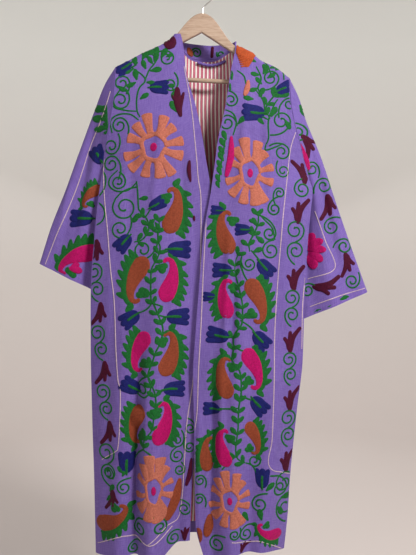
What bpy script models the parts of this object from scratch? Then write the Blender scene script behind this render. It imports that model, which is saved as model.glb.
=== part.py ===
"""Long open jacket of embroidered cotton on a wooden trouser hanger, in metres.

+Z is up, the jacket faces -Y and +X is to the viewer's right. The origin is the inside top of the
hanger's hook, where a rail carries it. The hanger leans by LEAN, so its +X arm is the lower one.
"""

import math

import bpy
import numpy as np

# Hanger
LEAN = math.radians(2.8)
WIRE = 0.0016
HOOK_RADIUS = 0.022
WOOD_TOP = -0.070
WOOD_HALF = 0.006
ARM_RISE = -0.112
ARM_SLOPE = 0.55
ARM_BEND = 0.018
HUMP = WOOD_TOP - ARM_RISE
HUMP_WIDTH = 0.058
ARCH_APEX = -0.1185
ARCH_SLOPE = 0.577
ARM_END = 0.207
TIP_ROUND = 0.008
LUG_INSIDE = 0.181
LUG_BOTTOM = -0.2465
WOOD_ROUND = 0.0035
ROUND_INSET = 0.18
ROUND_DEPTH = 0.35
FACE_INSET = 0.7
LUG_ROUND = 0.006
HUMP_END = 0.10
BAR_HEIGHT = -0.237
BAR_RADIUS = 0.0055
HOOK_START = -56.0
HOOK_END = 205.0
HOOK_POINTS = 30
HOOK_SHANK = (
    (0.0, WOOD_TOP + 0.0003),
    (0.0, -0.064),
    (0.0002, -0.058),
    (0.0022, -0.0528),
    (0.0062, -0.0485),
)

# Cloth
WALL = 0.0022
SEAM_GAP = 0.0003
ON_ARM = 0.0014
WRAP = 0.013
LINING = 0.0010
COLLAR = 0.0028
LOOP_RADIUS = 0.0035
LOOP_MIDDLE = 0.019
LOOP_REACH = 0.035
LOOP_HEIGHT = -0.1785
LOOP_SAG = 0.008
LOOP_CLEAR = 0.0018
UNDERARM = 0.244
OVER_ARM_DROPS = (0.0, 0.0012, 0.0045, WRAP, 0.026, 0.060, 0.105, 0.150, 0.195, 0.226, UNDERARM)
SEAM_ROWS = len(OVER_ARM_DROPS)
PANEL_ROWS = 15
FRONT_COLUMNS = 16
NECK_COLUMNS = 15
ARM_COLUMNS = 8
FRONT_ROUNDS = 0.45
FOLD_FADES = 0.12
BACK_FOLD_FADES = 0.2
HEM_MIDDLE = -1.40
FOLD_GROWS = 0.55
SEARCH_STEPS = 12

# Sleeves
SLEEVE_RINGS = 12
SLEEVE_CLEAR = 0.0002
RING_SPACING = 1.25
CAP_LENGTH = 0.35
OVAL_POWER = 0.85
UNDERARM_TURN = 0.35
SLEEVE_FOLD_START = 0.5
SLEEVE_FOLD_FADES = 0.1

# Neck
NECK_LEFT = -0.078
NECK_RIGHT = 0.080
NECK_BACK = 0.045
NECK_DIP = -0.1705
NECK_CORNER = 0.2
NECK_ON_ARM = 0.3
NECK_FALL = 0.10
NECK_STANDS = 0.082
NECK_TURNS = 0.014
STAND_TOP = -0.125
STAND_FORWARD = -0.0125
COLLAR_TOP = -0.131
COLLAR_FALL = 0.06
COLLAR_LEAST = 0.003
COLLAR_LEAN = 0.006
COLLAR_FITS = 0.985
COLLAR_OPENS = 0.02
COLLAR_COLUMNS = 25
COLLAR_ROWS = 4
FOOT_CLEAR = 0.0007
CORNER_CLEAR = 0.0030

# Lining
LINING_ROW = 2
LINING_SIDE = 2
LINING_RISE = 0.030
LINING_DIP = 0.15
LINING_CORNER = 0.5
LOOP_POINTS = 13
LOOP_ROW = 4


def table(columns, *rows):
    """A table by column name, a row to each section, with the first column rising."""
    return dict(zip(columns.split(), np.array(rows, float).T))


# Outline of the body at each height: the two side seams, with half the armhole's depth
SIDE_LEFT = table(
    "height x y half",
    (-1.420, -0.269, 0.000, 0.0013),
    (-1.240, -0.273, 0.000, 0.0013),
    (-1.070, -0.278, -0.002, 0.0013),
    (-0.900, -0.281, -0.006, 0.0013),
    (-0.755, -0.280, -0.011, 0.0013),
    (-0.630, -0.271, -0.011, 0.0013),
    (-0.530, -0.262, -0.006, 0.0013),
    (-0.455, -0.252, 0.000, 0.0013),
    (-0.400, -0.243, 0.000, 0.0120),
    (-0.330, -0.229, 0.000, 0.0210),
    (-0.260, -0.221, 0.000, 0.0200),
    (-0.208, -0.219, 0.000, 0.0120),
)
SIDE_RIGHT = table(
    "height x y half",
    (-1.420, 0.197, 0.000, 0.0013),
    (-1.318, 0.208, 0.000, 0.0013),
    (-1.226, 0.214, 0.000, 0.0013),
    (-1.058, 0.231, -0.002, 0.0013),
    (-0.930, 0.245, -0.006, 0.0013),
    (-0.800, 0.248, -0.011, 0.0013),
    (-0.640, 0.257, -0.011, 0.0013),
    (-0.570, 0.264, -0.008, 0.0013),
    (-0.515, 0.270, -0.004, 0.0013),
    (-0.470, 0.256, 0.000, 0.0013),
    (-0.400, 0.238, 0.000, 0.0130),
    (-0.345, 0.222, 0.000, 0.0210),
    (-0.285, 0.213, 0.000, 0.0200),
    (-0.223, 0.211, 0.000, 0.0120),
)
EDGE_RIGHT_FRONT = table(
    "height x y",
    (-1.420, -0.036, -0.042),
    (-1.260, -0.030, -0.042),
    (-1.080, -0.019, -0.042),
    (-0.876, -0.003, -0.042),
    (-0.640, 0.014, -0.041),
    (-0.512, 0.015, -0.040),
    (-0.434, 0.004, -0.039),
    (-0.396, -0.002, -0.038),
    (-0.313, -0.019, -0.034),
    (-0.228, -0.043, -0.026),
    (-0.149, -0.052, -0.014),
    (-0.125, -0.058, -0.0125),
)
EDGE_LEFT_FRONT = table(
    "height x y",
    (-1.420, 0.004, -0.048),
    (-1.322, -0.020, -0.051),
    (-1.108, -0.023, -0.052),
    (-0.958, -0.026, -0.052),
    (-0.876, -0.021, -0.052),
    (-0.708, -0.008, -0.051),
    (-0.619, 0.000, -0.050),
    (-0.527, 0.016, -0.049),
    (-0.456, 0.026, -0.045),
    (-0.396, 0.034, -0.040),
    (-0.308, 0.053, -0.034),
    (-0.216, 0.067, -0.025),
    (-0.174, 0.076, -0.015),
    (-0.151, 0.079, -0.012),
)

# Where the shoulder seam stands off the arm
PUFFS = table(
    "place width rise",
    (-0.150, 0.030, 0.002),
    (0.112, 0.020, 0.008),
    (0.178, 0.026, 0.007),
)

# Depth of the hanging cloth, by how far it hangs below its top edge
DEPTH = table(
    "drop front back power",
    (0.000, 0.012, 0.012, 3.0),
    (0.050, 0.019, 0.017, 3.0),
    (0.100, 0.028, 0.025, 3.0),
    (0.180, 0.039, 0.035, 3.0),
    (0.300, 0.047, 0.042, 3.0),
    (0.650, 0.057, 0.049, 3.4),
    (0.900, 0.062, 0.056, 4.4),
    (1.300, 0.069, 0.064, 5.0),
)

# Hem height across each panel, from its edge to its side seam, and across the back
HEM_RIGHT_FRONT = table(
    "across height",
    (0.00, -1.368),
    (0.12, -1.373),
    (0.32, -1.402),
    (0.65, -1.398),
    (1.00, -1.415),
)
HEM_LEFT_FRONT = table(
    "across height",
    (0.00, -1.403),
    (0.15, -1.407),
    (0.40, -1.391),
    (0.70, -1.388),
    (1.00, -1.404),
)
HEM_BACK = table(
    "across height",
    (0.00, -1.415),
    (0.25, -1.400),
    (0.50, -1.396),
    (0.75, -1.393),
    (1.00, -1.404),
)

# Largest folds: where each runs at its top and at the hem, half its width, and how far it stands out
FOLDS_RIGHT_FRONT = table(
    "top top_x hem_x width out",
    (-0.62, -0.110, -0.126, 0.024, 0.017),
    (-0.80, -0.158, -0.164, 0.016, -0.018),
    (-0.50, -0.185, -0.208, 0.026, 0.012),
    (-0.86, -0.052, -0.070, 0.022, -0.012),
    (-0.30, -0.090, -0.100, 0.030, 0.005),
    (-0.28, -0.165, -0.175, 0.026, -0.006),
)
FOLDS_LEFT_FRONT = table(
    "top top_x hem_x width out",
    (-0.56, 0.094, 0.062, 0.024, 0.014),
    (-0.70, 0.160, 0.108, 0.022, -0.013),
    (-0.55, 0.205, 0.150, 0.026, 0.011),
    (-0.95, 0.036, 0.024, 0.016, -0.006),
    (-0.30, 0.125, 0.130, 0.028, 0.006),
    (-0.30, 0.180, 0.190, 0.022, -0.006),
)
FOLDS_BACK = table(
    "top top_x hem_x width out",
    (-0.34, -0.150, -0.190, 0.030, 0.012),
    (-0.42, -0.080, -0.105, 0.026, -0.010),
    (-0.36, -0.010, -0.030, 0.034, 0.014),
    (-0.48, 0.070, 0.050, 0.026, -0.011),
    (-0.38, 0.150, 0.120, 0.030, 0.012),
)

# Each sleeve: its outer and inner edges, the middle of its depth and half its depth, cap to cuff
SLEEVE_RIGHT = table(
    "along outer_x outer_z inner_x inner_z middle half",
    (0.00, -0.221, -0.209, -0.2525, -0.453, 0.000, 0.020),
    (0.10, -0.250, -0.250, -0.257, -0.474, 0.011, 0.020),
    (0.22, -0.278, -0.312, -0.254, -0.512, 0.024, 0.021),
    (0.40, -0.316, -0.410, -0.249, -0.580, 0.029, 0.021),
    (0.60, -0.352, -0.510, -0.246, -0.650, 0.029, 0.020),
    (0.80, -0.388, -0.600, -0.245, -0.716, 0.031, 0.020),
    (1.00, -0.418, -0.694, -0.245, -0.778, 0.032, 0.021),
)
SLEEVE_LEFT = table(
    "along outer_x outer_z inner_x inner_z middle half",
    (0.00, 0.213, -0.224, 0.2525, -0.466, 0.000, 0.020),
    (0.10, 0.238, -0.272, 0.262, -0.490, 0.012, 0.020),
    (0.22, 0.260, -0.334, 0.262, -0.535, 0.028, 0.021),
    (0.40, 0.297, -0.424, 0.252, -0.612, 0.033, 0.021),
    (0.60, 0.334, -0.535, 0.240, -0.694, 0.033, 0.020),
    (0.80, 0.373, -0.650, 0.231, -0.770, 0.031, 0.020),
    (1.00, 0.415, -0.766, 0.226, -0.844, 0.032, 0.021),
)
SLEEVE_FOLDS = table(
    "place width out",
    (0.22, 0.10, -0.005),
    (0.48, 0.10, 0.006),
    (0.72, 0.09, -0.005),
)

MATERIALS = {
    "purple_cotton": ((0.200, 0.130, 0.500), 0.85, 0.0),
    "striped_lining": ((0.560, 0.300, 0.330), 0.80, 0.0),
    "lacquered_wood": ((0.560, 0.380, 0.230), 0.30, 0.0),
    "bright_steel": ((0.600, 0.600, 0.600), 0.25, 1.0),
}


def clear_scene():
    """Empty the file of objects."""
    for item in list(bpy.data.objects):
        bpy.data.objects.remove(item, do_unlink=True)


def material(name):
    """A plain surface of the named colour, roughness and metallic value."""
    colour, roughness, metallic = MATERIALS[name]
    made = bpy.data.materials.get(name) or bpy.data.materials.new(name)
    made.use_nodes = True
    shader = made.node_tree.nodes["Principled BSDF"]
    shader.inputs["Base Color"].default_value = (*colour, 1.0)
    shader.inputs["Roughness"].default_value = roughness
    shader.inputs["Metallic"].default_value = metallic
    return made


def smooth(t):
    """Step from 0 to 1 with level ends."""
    t = np.clip(t, 0.0, 1.0)
    return t * t * (3.0 - 2.0 * t)


def read(rows, column, at):
    """A column of a table at any place: cubic between its rows, and never past their values."""
    places = rows[next(iter(rows))]
    values = rows[column]
    steps = np.diff(values) / np.diff(places)
    product = steps[1:] * steps[:-1]
    total = np.where(product > 0.0, steps[1:] + steps[:-1], 1.0)
    inner = np.where(product > 0.0, 2.0 * product / total, 0.0)
    slopes = np.concatenate([steps[:1], inner, steps[-1:]])
    at = np.clip(at, places[0], places[-1])
    low = np.clip(np.searchsorted(places, at) - 1, 0, len(places) - 2)
    span = places[low + 1] - places[low]
    t = (at - places[low]) / span
    start = (2 * t**3 - 3 * t**2 + 1) * values[low] + (t**3 - 2 * t**2 + t) * span * slopes[low]
    end = (3 * t**2 - 2 * t**3) * values[low + 1] + (t**3 - t**2) * span * slopes[low + 1]
    return start + end


def lean(x, z):
    """Turn a point of the upright hanger with the hanger, about the hook's inside top."""
    return x * math.cos(LEAN) + z * math.sin(LEAN), z * math.cos(LEAN) - x * math.sin(LEAN)


def arm_top(x):
    """Height of the upright hanger's upper edge: two sloping arms with a hump between them."""
    slope = ARM_SLOPE * (np.sqrt(x**2 + ARM_BEND**2) - ARM_BEND)
    return ARM_RISE - slope + HUMP * np.exp(-((np.abs(x) / HUMP_WIDTH) ** 3))


def leaning_arm_top(x):
    """Height of the leaning hanger's upper edge above world place x."""
    upright = x
    for _ in range(SEARCH_STEPS):
        upright = (x - arm_top(upright) * math.sin(LEAN)) / math.cos(LEAN)
    return lean(upright, arm_top(upright))[1]


def shoulder(x):
    """Height of the cloth's middle over the hanger's arm, with the two places where it stands off it."""
    puff = np.zeros_like(x)
    for place, width, rise in zip(*PUFFS.values()):
        puff += rise * np.exp(-(((x - place) / width) ** 2))
    return leaning_arm_top(x) + ON_ARM + WALL / 2 + puff


def over_arm(drop):
    """How far the cloth has turned over the arm, 0 on its top and 1 where it hangs."""
    t = np.clip(drop / WRAP, 0.0, 1.0)
    return np.sqrt(1.0 - (1.0 - t) ** 2)


def folds(rows, x, height):
    """How far the folds stand out at a place: each a round ridge that grows on its way down."""
    out = np.zeros_like(x)
    for top, top_x, hem_x, width, reach in zip(*rows.values()):
        down = np.clip((top - height) / (top - HEM_MIDDLE), 0.0, 1.0)
        line = top_x + (hem_x - top_x) * down
        grown = smooth((top - height) / FOLD_GROWS)
        out += reach * grown * np.exp(-(((x - line) / width) ** 2))
    return out


def drops(length):
    """Distances below a panel's top edge: close over the arm, then even to the underarm and the hem."""
    below = np.linspace(0.0, 1.0, PANEL_ROWS)[1:]
    upper = np.repeat(np.array(OVER_ARM_DROPS)[:, None], len(length), axis=1)
    lower = UNDERARM + (length - UNDERARM) * below[:, None]
    return np.vstack([upper, lower])


def top_edge(edge, side, across, highest):
    """Places and heights of a front's top edge, found by moving along the arm until both agree."""
    x = edge["x"][-1] + (side["x"][-1] - edge["x"][-1]) * across
    for _ in range(SEARCH_STEPS):
        height = np.minimum(shoulder(x), highest)
        start = read(edge, "x", height)
        x = start + (read(side, "x", height) - start) * across
    return x, height


def front_points(edge, side, hem, fold_rows, columns, stands):
    """Middle surface of a front, from its edge to its side seam and from its top down to its hem.

    The top edge lies over the arm. Where stands is true, the part beside the neck stands up in front
    of the hanger's hump, level with the collar.
    """
    across = np.linspace(0.0, 1.0, columns)
    top_x, top = top_edge(edge, side, across, STAND_TOP if stands else 0.0)
    top_y = np.full_like(top, -SEAM_GAP / 2)
    if stands:
        beside_neck = smooth((NECK_STANDS - np.abs(top_x)) / NECK_TURNS)
        top_y = top_y + (STAND_FORWARD - top_y) * beside_neck
    drop = drops(top - read(hem, "height", across))
    height = top - drop
    start = read(edge, "x", height)
    x = start + (read(side, "x", height) - start) * across
    edge_y = read(edge, "y", height)
    side_y = read(side, "y", height) - read(side, "half", height)
    panel_y = edge_y + (-read(DEPTH, "front", drop) - edge_y) * smooth(across / FRONT_ROUNDS)
    fading = smooth(across / FOLD_FADES) * smooth((1.0 - across) / FOLD_FADES)
    panel_y = panel_y - folds(fold_rows, x, height) * fading
    round_off = 1.0 - across ** read(DEPTH, "power", drop)
    hanging = side_y + (panel_y - side_y) * round_off
    y = top_y + (hanging - top_y) * over_arm(drop)
    return np.stack([x, y, height], axis=-1)


def neck_share(x):
    """1 at the middle of the back neck, falling round to 0 at the neck's two corners."""
    middle = (NECK_LEFT + NECK_RIGHT) / 2
    half = (NECK_RIGHT - NECK_LEFT) / 2
    return np.sqrt(np.clip(1.0 - ((x - middle) / half) ** 2, 0.0, 1.0))


def back_top(x):
    """Height of the back's top edge: over the arms, and dipping between them at the neck."""
    share = neck_share(x)
    return shoulder(x) + (NECK_DIP - shoulder(x)) * smooth((share - NECK_CORNER) / (1.0 - NECK_CORNER))


def back_points(across):
    """Middle surface of the back, from the side seam at -X to the one at +X, top down to hem."""
    left_top = SIDE_LEFT["x"][-1]
    right_top = SIDE_RIGHT["x"][-1]
    top_x = left_top + (right_top - left_top) * across
    top = back_top(top_x)
    drop = drops(top - read(HEM_BACK, "height", across))
    height = top - drop
    left = read(SIDE_LEFT, "x", height)
    x = left + (read(SIDE_RIGHT, "x", height) - left) * across
    left_y = read(SIDE_LEFT, "y", height) + read(SIDE_LEFT, "half", height)
    right_y = read(SIDE_RIGHT, "y", height) + read(SIDE_RIGHT, "half", height)
    side_y = left_y + (right_y - left_y) * smooth(across)
    off_middle = np.abs(2.0 * across - 1.0)
    fading = smooth((1.0 - off_middle) / BACK_FOLD_FADES)
    panel_y = read(DEPTH, "back", drop) + folds(FOLDS_BACK, x, height) * fading
    hanging = side_y + (panel_y - side_y) * (1.0 - off_middle ** read(DEPTH, "power", drop))
    hanging = SEAM_GAP / 2 + (hanging - SEAM_GAP / 2) * over_arm(drop)
    neck = NECK_BACK * neck_share(top_x) * np.exp(-((drop / NECK_FALL) ** 2))
    y = np.sqrt(hanging**2 + neck**2)
    return np.stack([x, y, height], axis=-1)


def normals(points, closed):
    """Unit normals of a grid of points; a closed grid's rows join end to start."""
    if closed:
        wide = np.concatenate([points[:, -1:], points, points[:, :1]], axis=1)
        along = np.gradient(wide, axis=1)[:, 1:-1]
    else:
        along = np.gradient(points, axis=1)
    across = np.cross(np.gradient(points, axis=0), along)
    return across / np.linalg.norm(across, axis=-1, keepdims=True)


def wall(name, points, outward, thick, surface, closed=False):
    """A closed wall of cloth: the points moved out and in by half its thickness, with its rims."""
    if np.sum(normals(points, closed) * outward) < 0.0:
        points = points[:, ::-1]
        outward = outward[:, ::-1]
    rows, columns = points.shape[:2]
    outer = points + outward * thick / 2
    inner = points - outward * thick / 2
    vertices = np.concatenate([outer.reshape(-1, 3), inner.reshape(-1, 3)])
    count = rows * columns
    turns = columns if closed else columns - 1
    faces = []
    for row in range(rows - 1):
        for column in range(turns):
            a = row * columns + column
            b = row * columns + (column + 1) % columns
            c = b + columns
            d = a + columns
            faces.append((a, d, c, b))
            faces.append((a + count, b + count, c + count, d + count))
    for column in range(turns):
        after = (column + 1) % columns
        last = (rows - 1) * columns
        faces.append((column, after, after + count, column + count))
        faces.append((last + after, last + column, last + column + count, last + after + count))
    if not closed:
        for row in range(rows - 1):
            a = row * columns
            b = a + columns
            faces.append((b, a, a + count, b + count))
            a = a + columns - 1
            b = b + columns - 1
            faces.append((a, b, b + count, a + count))
    return solid(name, vertices, faces, surface)


def solid(name, vertices, faces, surface):
    """An object of these vertices and faces, shaded smooth over its gentle edges."""
    mesh = bpy.data.meshes.new(name)
    mesh.from_pydata([tuple(v) for v in vertices], [], faces)
    mesh.update()
    mesh.materials.append(material(surface))
    mesh.shade_smooth()
    mesh.set_sharp_from_angle(angle=math.radians(50))
    made = bpy.data.objects.new(name, mesh)
    bpy.context.collection.objects.link(made)
    return made


def front(name, edge, side, hem, fold_rows, stands):
    """One front, with its middle points and the normals that face out of the jacket."""
    points = front_points(edge, side, hem, fold_rows, FRONT_COLUMNS, stands)
    outward = facing(normals(points, closed=False), -1.0)
    on_arm = np.ones(FRONT_COLUMNS)
    if stands:
        on_arm = 1.0 - smooth((NECK_STANDS - np.abs(points[0, :, 0])) / NECK_TURNS)
    outward[0, :, 1] *= 1.0 - on_arm
    outward[0] /= np.linalg.norm(outward[0], axis=-1, keepdims=True)
    wall(name, points, outward, WALL, "purple_cotton")
    return points, outward


def facing(vectors, way):
    """The vectors, turned over together if they don't face this way along Y."""
    return vectors * way * np.sign(np.sum(vectors[..., 1]))


def back():
    """The back, with its middle points and normals; its columns are closest at the neck's corners."""
    left_top = SIDE_LEFT["x"][-1]
    right_top = SIDE_RIGHT["x"][-1]
    middle = (NECK_LEFT + NECK_RIGHT) / 2
    half = (NECK_RIGHT - NECK_LEFT) / 2
    neck = middle + half * np.sin(np.linspace(-0.5, 0.5, NECK_COLUMNS) * math.pi)
    left_arm = np.linspace(left_top, NECK_LEFT, ARM_COLUMNS)[:-1]
    right_arm = np.linspace(NECK_RIGHT, right_top, ARM_COLUMNS)[1:]
    columns = np.concatenate([left_arm, neck, right_arm])
    points = back_points((columns - left_top) / (right_top - left_top))
    outward = facing(normals(points, closed=False), 1.0)
    share = neck_share(columns)
    on_arm = smooth(1.0 - share / NECK_ON_ARM)
    outward[0, :, 1] *= 1.0 - on_arm
    outward[0, :, 2] *= on_arm
    outward[0] /= np.linalg.norm(outward[0], axis=-1, keepdims=True)
    wall("back", points, outward, WALL, "purple_cotton")
    return points, outward


def back_lining(back_middle, back_outward):
    """The striped lining inside the back, from just below the neck seam to above the hem."""
    inset = WALL / 2 + 2 * SEAM_GAP + LINING / 2
    made = (back_middle - back_outward * inset)[LINING_ROW:, LINING_SIDE:-LINING_SIDE]
    share = neck_share(back_middle[0, LINING_SIDE:-LINING_SIDE, 0])[:, None]
    rise = LINING_DIP + (1.0 - LINING_DIP) * smooth(share / LINING_CORNER)
    made[0] = made[1] + (made[0] - made[1]) * rise
    hem_row = made[-2, :, 2] - made[-1, :, 2]
    made[-1] = made[-1] + (made[-2] - made[-1]) * (LINING_RISE / hem_row)[:, None]
    outward = back_outward[LINING_ROW:, LINING_SIDE:-LINING_SIDE]
    wall("lining_back", made, outward, LINING, "striped_lining")
    return made


def collar(neck_seam):
    """The stand of the collar round the back neck: its foot on the neck seam, its top level."""
    middle = (NECK_LEFT + NECK_RIGHT) / 2
    half = (NECK_RIGHT - NECK_LEFT) / 2
    turn = np.linspace(-1.0, 1.0, COLLAR_COLUMNS) * math.pi / 2
    x = middle + half * COLLAR_FITS * np.sin(turn)
    share = neck_share(x)
    seam = np.interp(x, neck_seam[:, 0], neck_seam[:, 2])
    foot = seam + FOOT_CLEAR + CORNER_CLEAR * (1.0 - share) ** 2
    foot_y = np.interp(x, neck_seam[:, 0], neck_seam[:, 1])
    top = COLLAR_TOP - COLLAR_FALL * (x - middle)
    top = np.maximum(top, foot + COLLAR_LEAST)
    up = np.linspace(1.0, 0.0, COLLAR_ROWS)[:, None]
    height = foot + (top - foot) * up
    y = foot_y + COLLAR_LEAN * up * share
    wide = middle + (x - middle) * (1.0 + COLLAR_OPENS * up)
    points = np.stack([wide, y, height], axis=-1)
    outward = facing(normals(points, closed=False), 1.0)
    outward[-1, :, 2] = 0.0
    outward[-1] /= np.linalg.norm(outward[-1], axis=-1, keepdims=True)
    wall("collar", points, outward, COLLAR, "purple_cotton")


def sleeve(name, rows, front_seam, back_seam, side):
    """A sleeve from its armhole to its cuff.

    Its first ring follows the seams of the front and the back from the shoulder's tip down to the
    underarm and up again. Each later ring is a flat oval between the outer and the inner edge.
    """
    front_line, front_out = front_seam
    back_line, back_out = back_seam
    first = np.concatenate([front_line, back_line[-2:0:-1]])
    first_out = np.concatenate([front_out, back_out[-2:0:-1]])
    last = len(front_line) - 1
    first[0, 1] = 0.0
    first[last, 1] = 0.0
    first_out[0, 1] = 0.0
    first_out[last] = (UNDERARM_TURN * side, 0.0, -1.0)
    first_out /= np.linalg.norm(first_out, axis=-1, keepdims=True)
    first = first + np.array([side * (SEAM_GAP + SLEEVE_CLEAR), 0.0, 0.0])
    down = (front_line[0, 2] - front_line[:, 2]) / (front_line[0, 2] - front_line[-1, 2])
    down = np.concatenate([down, down[-2:0:-1]])
    face = np.concatenate([-np.ones(last + 1), np.ones(last - 1)])
    oval = np.sqrt(np.clip(1.0 - (2.0 * down - 1.0) ** 2, 0.0, 1.0)) ** OVAL_POWER

    def ring(along):
        """The flat oval at a place along the sleeve."""
        outer = np.array([read(rows, "outer_x", along), 0.0, read(rows, "outer_z", along)])
        inner = np.array([read(rows, "inner_x", along), 0.0, read(rows, "inner_z", along)])
        made = outer + (inner - outer) * down[:, None]
        bend = np.zeros_like(down)
        for place, width, out in zip(*SLEEVE_FOLDS.values()):
            bend += out * np.exp(-(((down - place) / width) ** 2))
        bend *= smooth(down / SLEEVE_FOLD_FADES) * smooth((1.0 - down) / SLEEVE_FOLD_FADES)
        bend *= smooth(along / SLEEVE_FOLD_START)
        made[:, 1] = read(rows, "middle", along) + face * (read(rows, "half", along) * oval + bend)
        return made

    places = np.linspace(0.0, 1.0, SLEEVE_RINGS) ** RING_SPACING
    points = np.array([ring(along) for along in places])
    points += (first - points[0]) * ((1.0 - smooth(places / CAP_LENGTH))[:, None, None])
    outward = normals(points, closed=True)
    from_middle = points - points.mean(axis=1, keepdims=True)
    outward *= np.sign(np.sum(outward * from_middle))
    outward[0] = first_out
    wall(name, points, outward, WALL, "purple_cotton", closed=True)


def tube(name, path, radius, sides, surface):
    """A round bar along a path, square at both ends."""
    path = np.array(path, float)
    along = np.gradient(path, axis=0)
    along /= np.linalg.norm(along, axis=-1, keepdims=True)
    sideways = np.array([0.0, 1.0, 0.0])
    across = np.cross(along, sideways)
    across /= np.linalg.norm(across, axis=-1, keepdims=True)
    third = np.cross(across, along)
    angle = np.linspace(0.0, 2.0 * math.pi, sides, endpoint=False)
    ring = radius * (np.cos(angle)[:, None] * across[:, None] + np.sin(angle)[:, None] * third[:, None])
    vertices = (path[:, None] + ring).reshape(-1, 3)
    faces = []
    for row in range(len(path) - 1):
        for side in range(sides):
            a = row * sides + side
            b = row * sides + (side + 1) % sides
            faces.append((a, a + sides, b + sides, b))
    faces.append(tuple(range(sides)))
    faces.append(tuple(len(vertices) - 1 - side for side in range(sides)))
    return solid(name, vertices, faces, surface)


def hanging_loop(lining):
    """The rolled loop of cloth inside the back neck, sagging a little between its ends."""
    turn = np.linspace(-1.0, 1.0, LOOP_POINTS)
    x = LOOP_MIDDLE + LOOP_REACH * turn
    height = LOOP_HEIGHT - LOOP_SAG * (1.0 - turn**2)
    y = []
    for place, level in zip(x, height):
        across = [np.interp(-level, -column[:, 2], column[:, 1]) for column in lining.swapaxes(0, 1)]
        y.append(np.interp(place, lining[LOOP_ROW, :, 0], across))
    y = np.array(y) - LINING / 2 - LOOP_RADIUS - LOOP_CLEAR
    tube("hanging_loop", np.stack([x, y, height], axis=-1), LOOP_RADIUS, 8, "purple_cotton")


def hanger_wood():
    """The hanger's board: its upper and lower outlines, a lug at each end, and rounded edges."""
    arm = np.linspace(HUMP_END, ARM_END - TIP_ROUND, 6)[1:]
    x = np.concatenate([np.linspace(0.0, HUMP_END, 15), arm])
    upper = [(place, arm_top(place)) for place in x]
    turn = np.linspace(0.0, 1.0, 5)
    tip = []
    for angle in turn[1:] * math.pi / 2:
        place = ARM_END - TIP_ROUND * (1.0 - math.sin(angle))
        tip.append((place, arm_top(place) - TIP_ROUND * (1.0 - math.cos(angle))))
    foot = [
        (ARM_END, LUG_BOTTOM + LUG_ROUND),
        (ARM_END - LUG_ROUND, LUG_BOTTOM),
        (LUG_INSIDE, LUG_BOTTOM),
    ]
    lower_x = np.linspace(LUG_INSIDE, 0.0, 7)
    lower = [(place, ARCH_APEX - ARCH_SLOPE * place) for place in lower_x]
    half = upper + tip + foot + lower
    outline = half[:-1] + [(0.0, ARCH_APEX)] + [(-px, pz) for px, pz in reversed(half[1:-1])]
    half_way = (inward(outline, WOOD_ROUND * ROUND_INSET), WOOD_HALF - WOOD_ROUND * ROUND_DEPTH)
    face = (inward(outline, WOOD_ROUND * FACE_INSET), WOOD_HALF)
    behind = [face, half_way, (outline, WOOD_HALF - WOOD_ROUND)]
    rings = [(line, -y) for line, y in behind] + behind[::-1]
    vertices = []
    for line, y in rings:
        for px, pz in line:
            turned = lean(px, pz)
            vertices.append((turned[0], y, turned[1]))
    count = len(outline)
    faces = [tuple(reversed(range(count)))]
    for row in range(len(rings) - 1):
        for side in range(count):
            a = row * count + side
            b = row * count + (side + 1) % count
            faces.append((a, b, b + count, a + count))
    faces.append(tuple(range((len(rings) - 1) * count, len(rings) * count)))
    solid("hanger_wood", vertices, faces, "lacquered_wood")


def inward(outline, distance):
    """The outline moved in by a distance, each corner along its own bisector."""
    line = np.array(outline)
    before = line - np.roll(line, 1, axis=0)
    after = np.roll(line, -1, axis=0) - line
    before /= np.linalg.norm(before, axis=1, keepdims=True)
    after /= np.linalg.norm(after, axis=1, keepdims=True)
    tangent = before + after
    tangent /= np.linalg.norm(tangent, axis=1, keepdims=True)
    side = np.stack([tangent[:, 1], -tangent[:, 0]], axis=1)
    return [tuple(point) for point in line + side * distance]


def hanger_bar():
    """The trouser bar between the lugs, one seam gap from each."""
    reach = LUG_INSIDE - SEAM_GAP
    ends = [lean(-reach, BAR_HEIGHT), lean(0.0, BAR_HEIGHT), lean(reach, BAR_HEIGHT)]
    tube("hanger_bar", [(x, 0.0, z) for x, z in ends], BAR_RADIUS, 16, "lacquered_wood")


def hanger_hook():
    """The hook's wire: up from the board, out to +X and round over the rail's place."""
    radius = HOOK_RADIUS + WIRE
    centre = -HOOK_RADIUS
    turn = np.radians(np.linspace(HOOK_START, HOOK_END, HOOK_POINTS))
    arc = [(radius * math.cos(a), centre + radius * math.sin(a)) for a in turn]
    path = [lean(x, z) for x, z in [*HOOK_SHANK, *arc]]
    tube("hanger_hook", [(x, 0.0, z) for x, z in path], WIRE, 8, "bright_steel")


def armhole_seam(points, outward, column):
    """The stretch of a panel's side edge that its sleeve is sewn to."""
    return points[:SEAM_ROWS, column].copy(), outward[:SEAM_ROWS, column].copy()


def build():
    """Make every piece."""
    clear_scene()
    right_points, right_out = front(
        "front_right", EDGE_RIGHT_FRONT, SIDE_LEFT, HEM_RIGHT_FRONT, FOLDS_RIGHT_FRONT, stands=True
    )
    left_points, left_out = front(
        "front_left", EDGE_LEFT_FRONT, SIDE_RIGHT, HEM_LEFT_FRONT, FOLDS_LEFT_FRONT, stands=False
    )
    back_mid, back_out = back()
    lining = back_lining(back_mid, back_out)
    collar(back_mid[0])
    sleeve(
        "sleeve_right",
        SLEEVE_RIGHT,
        armhole_seam(right_points, right_out, -1),
        armhole_seam(back_mid, back_out, 0),
        -1,
    )
    sleeve(
        "sleeve_left",
        SLEEVE_LEFT,
        armhole_seam(left_points, left_out, -1),
        armhole_seam(back_mid, back_out, -1),
        1,
    )
    hanging_loop(lining)
    hanger_wood()
    hanger_bar()
    hanger_hook()


build()
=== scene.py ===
import math

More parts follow.
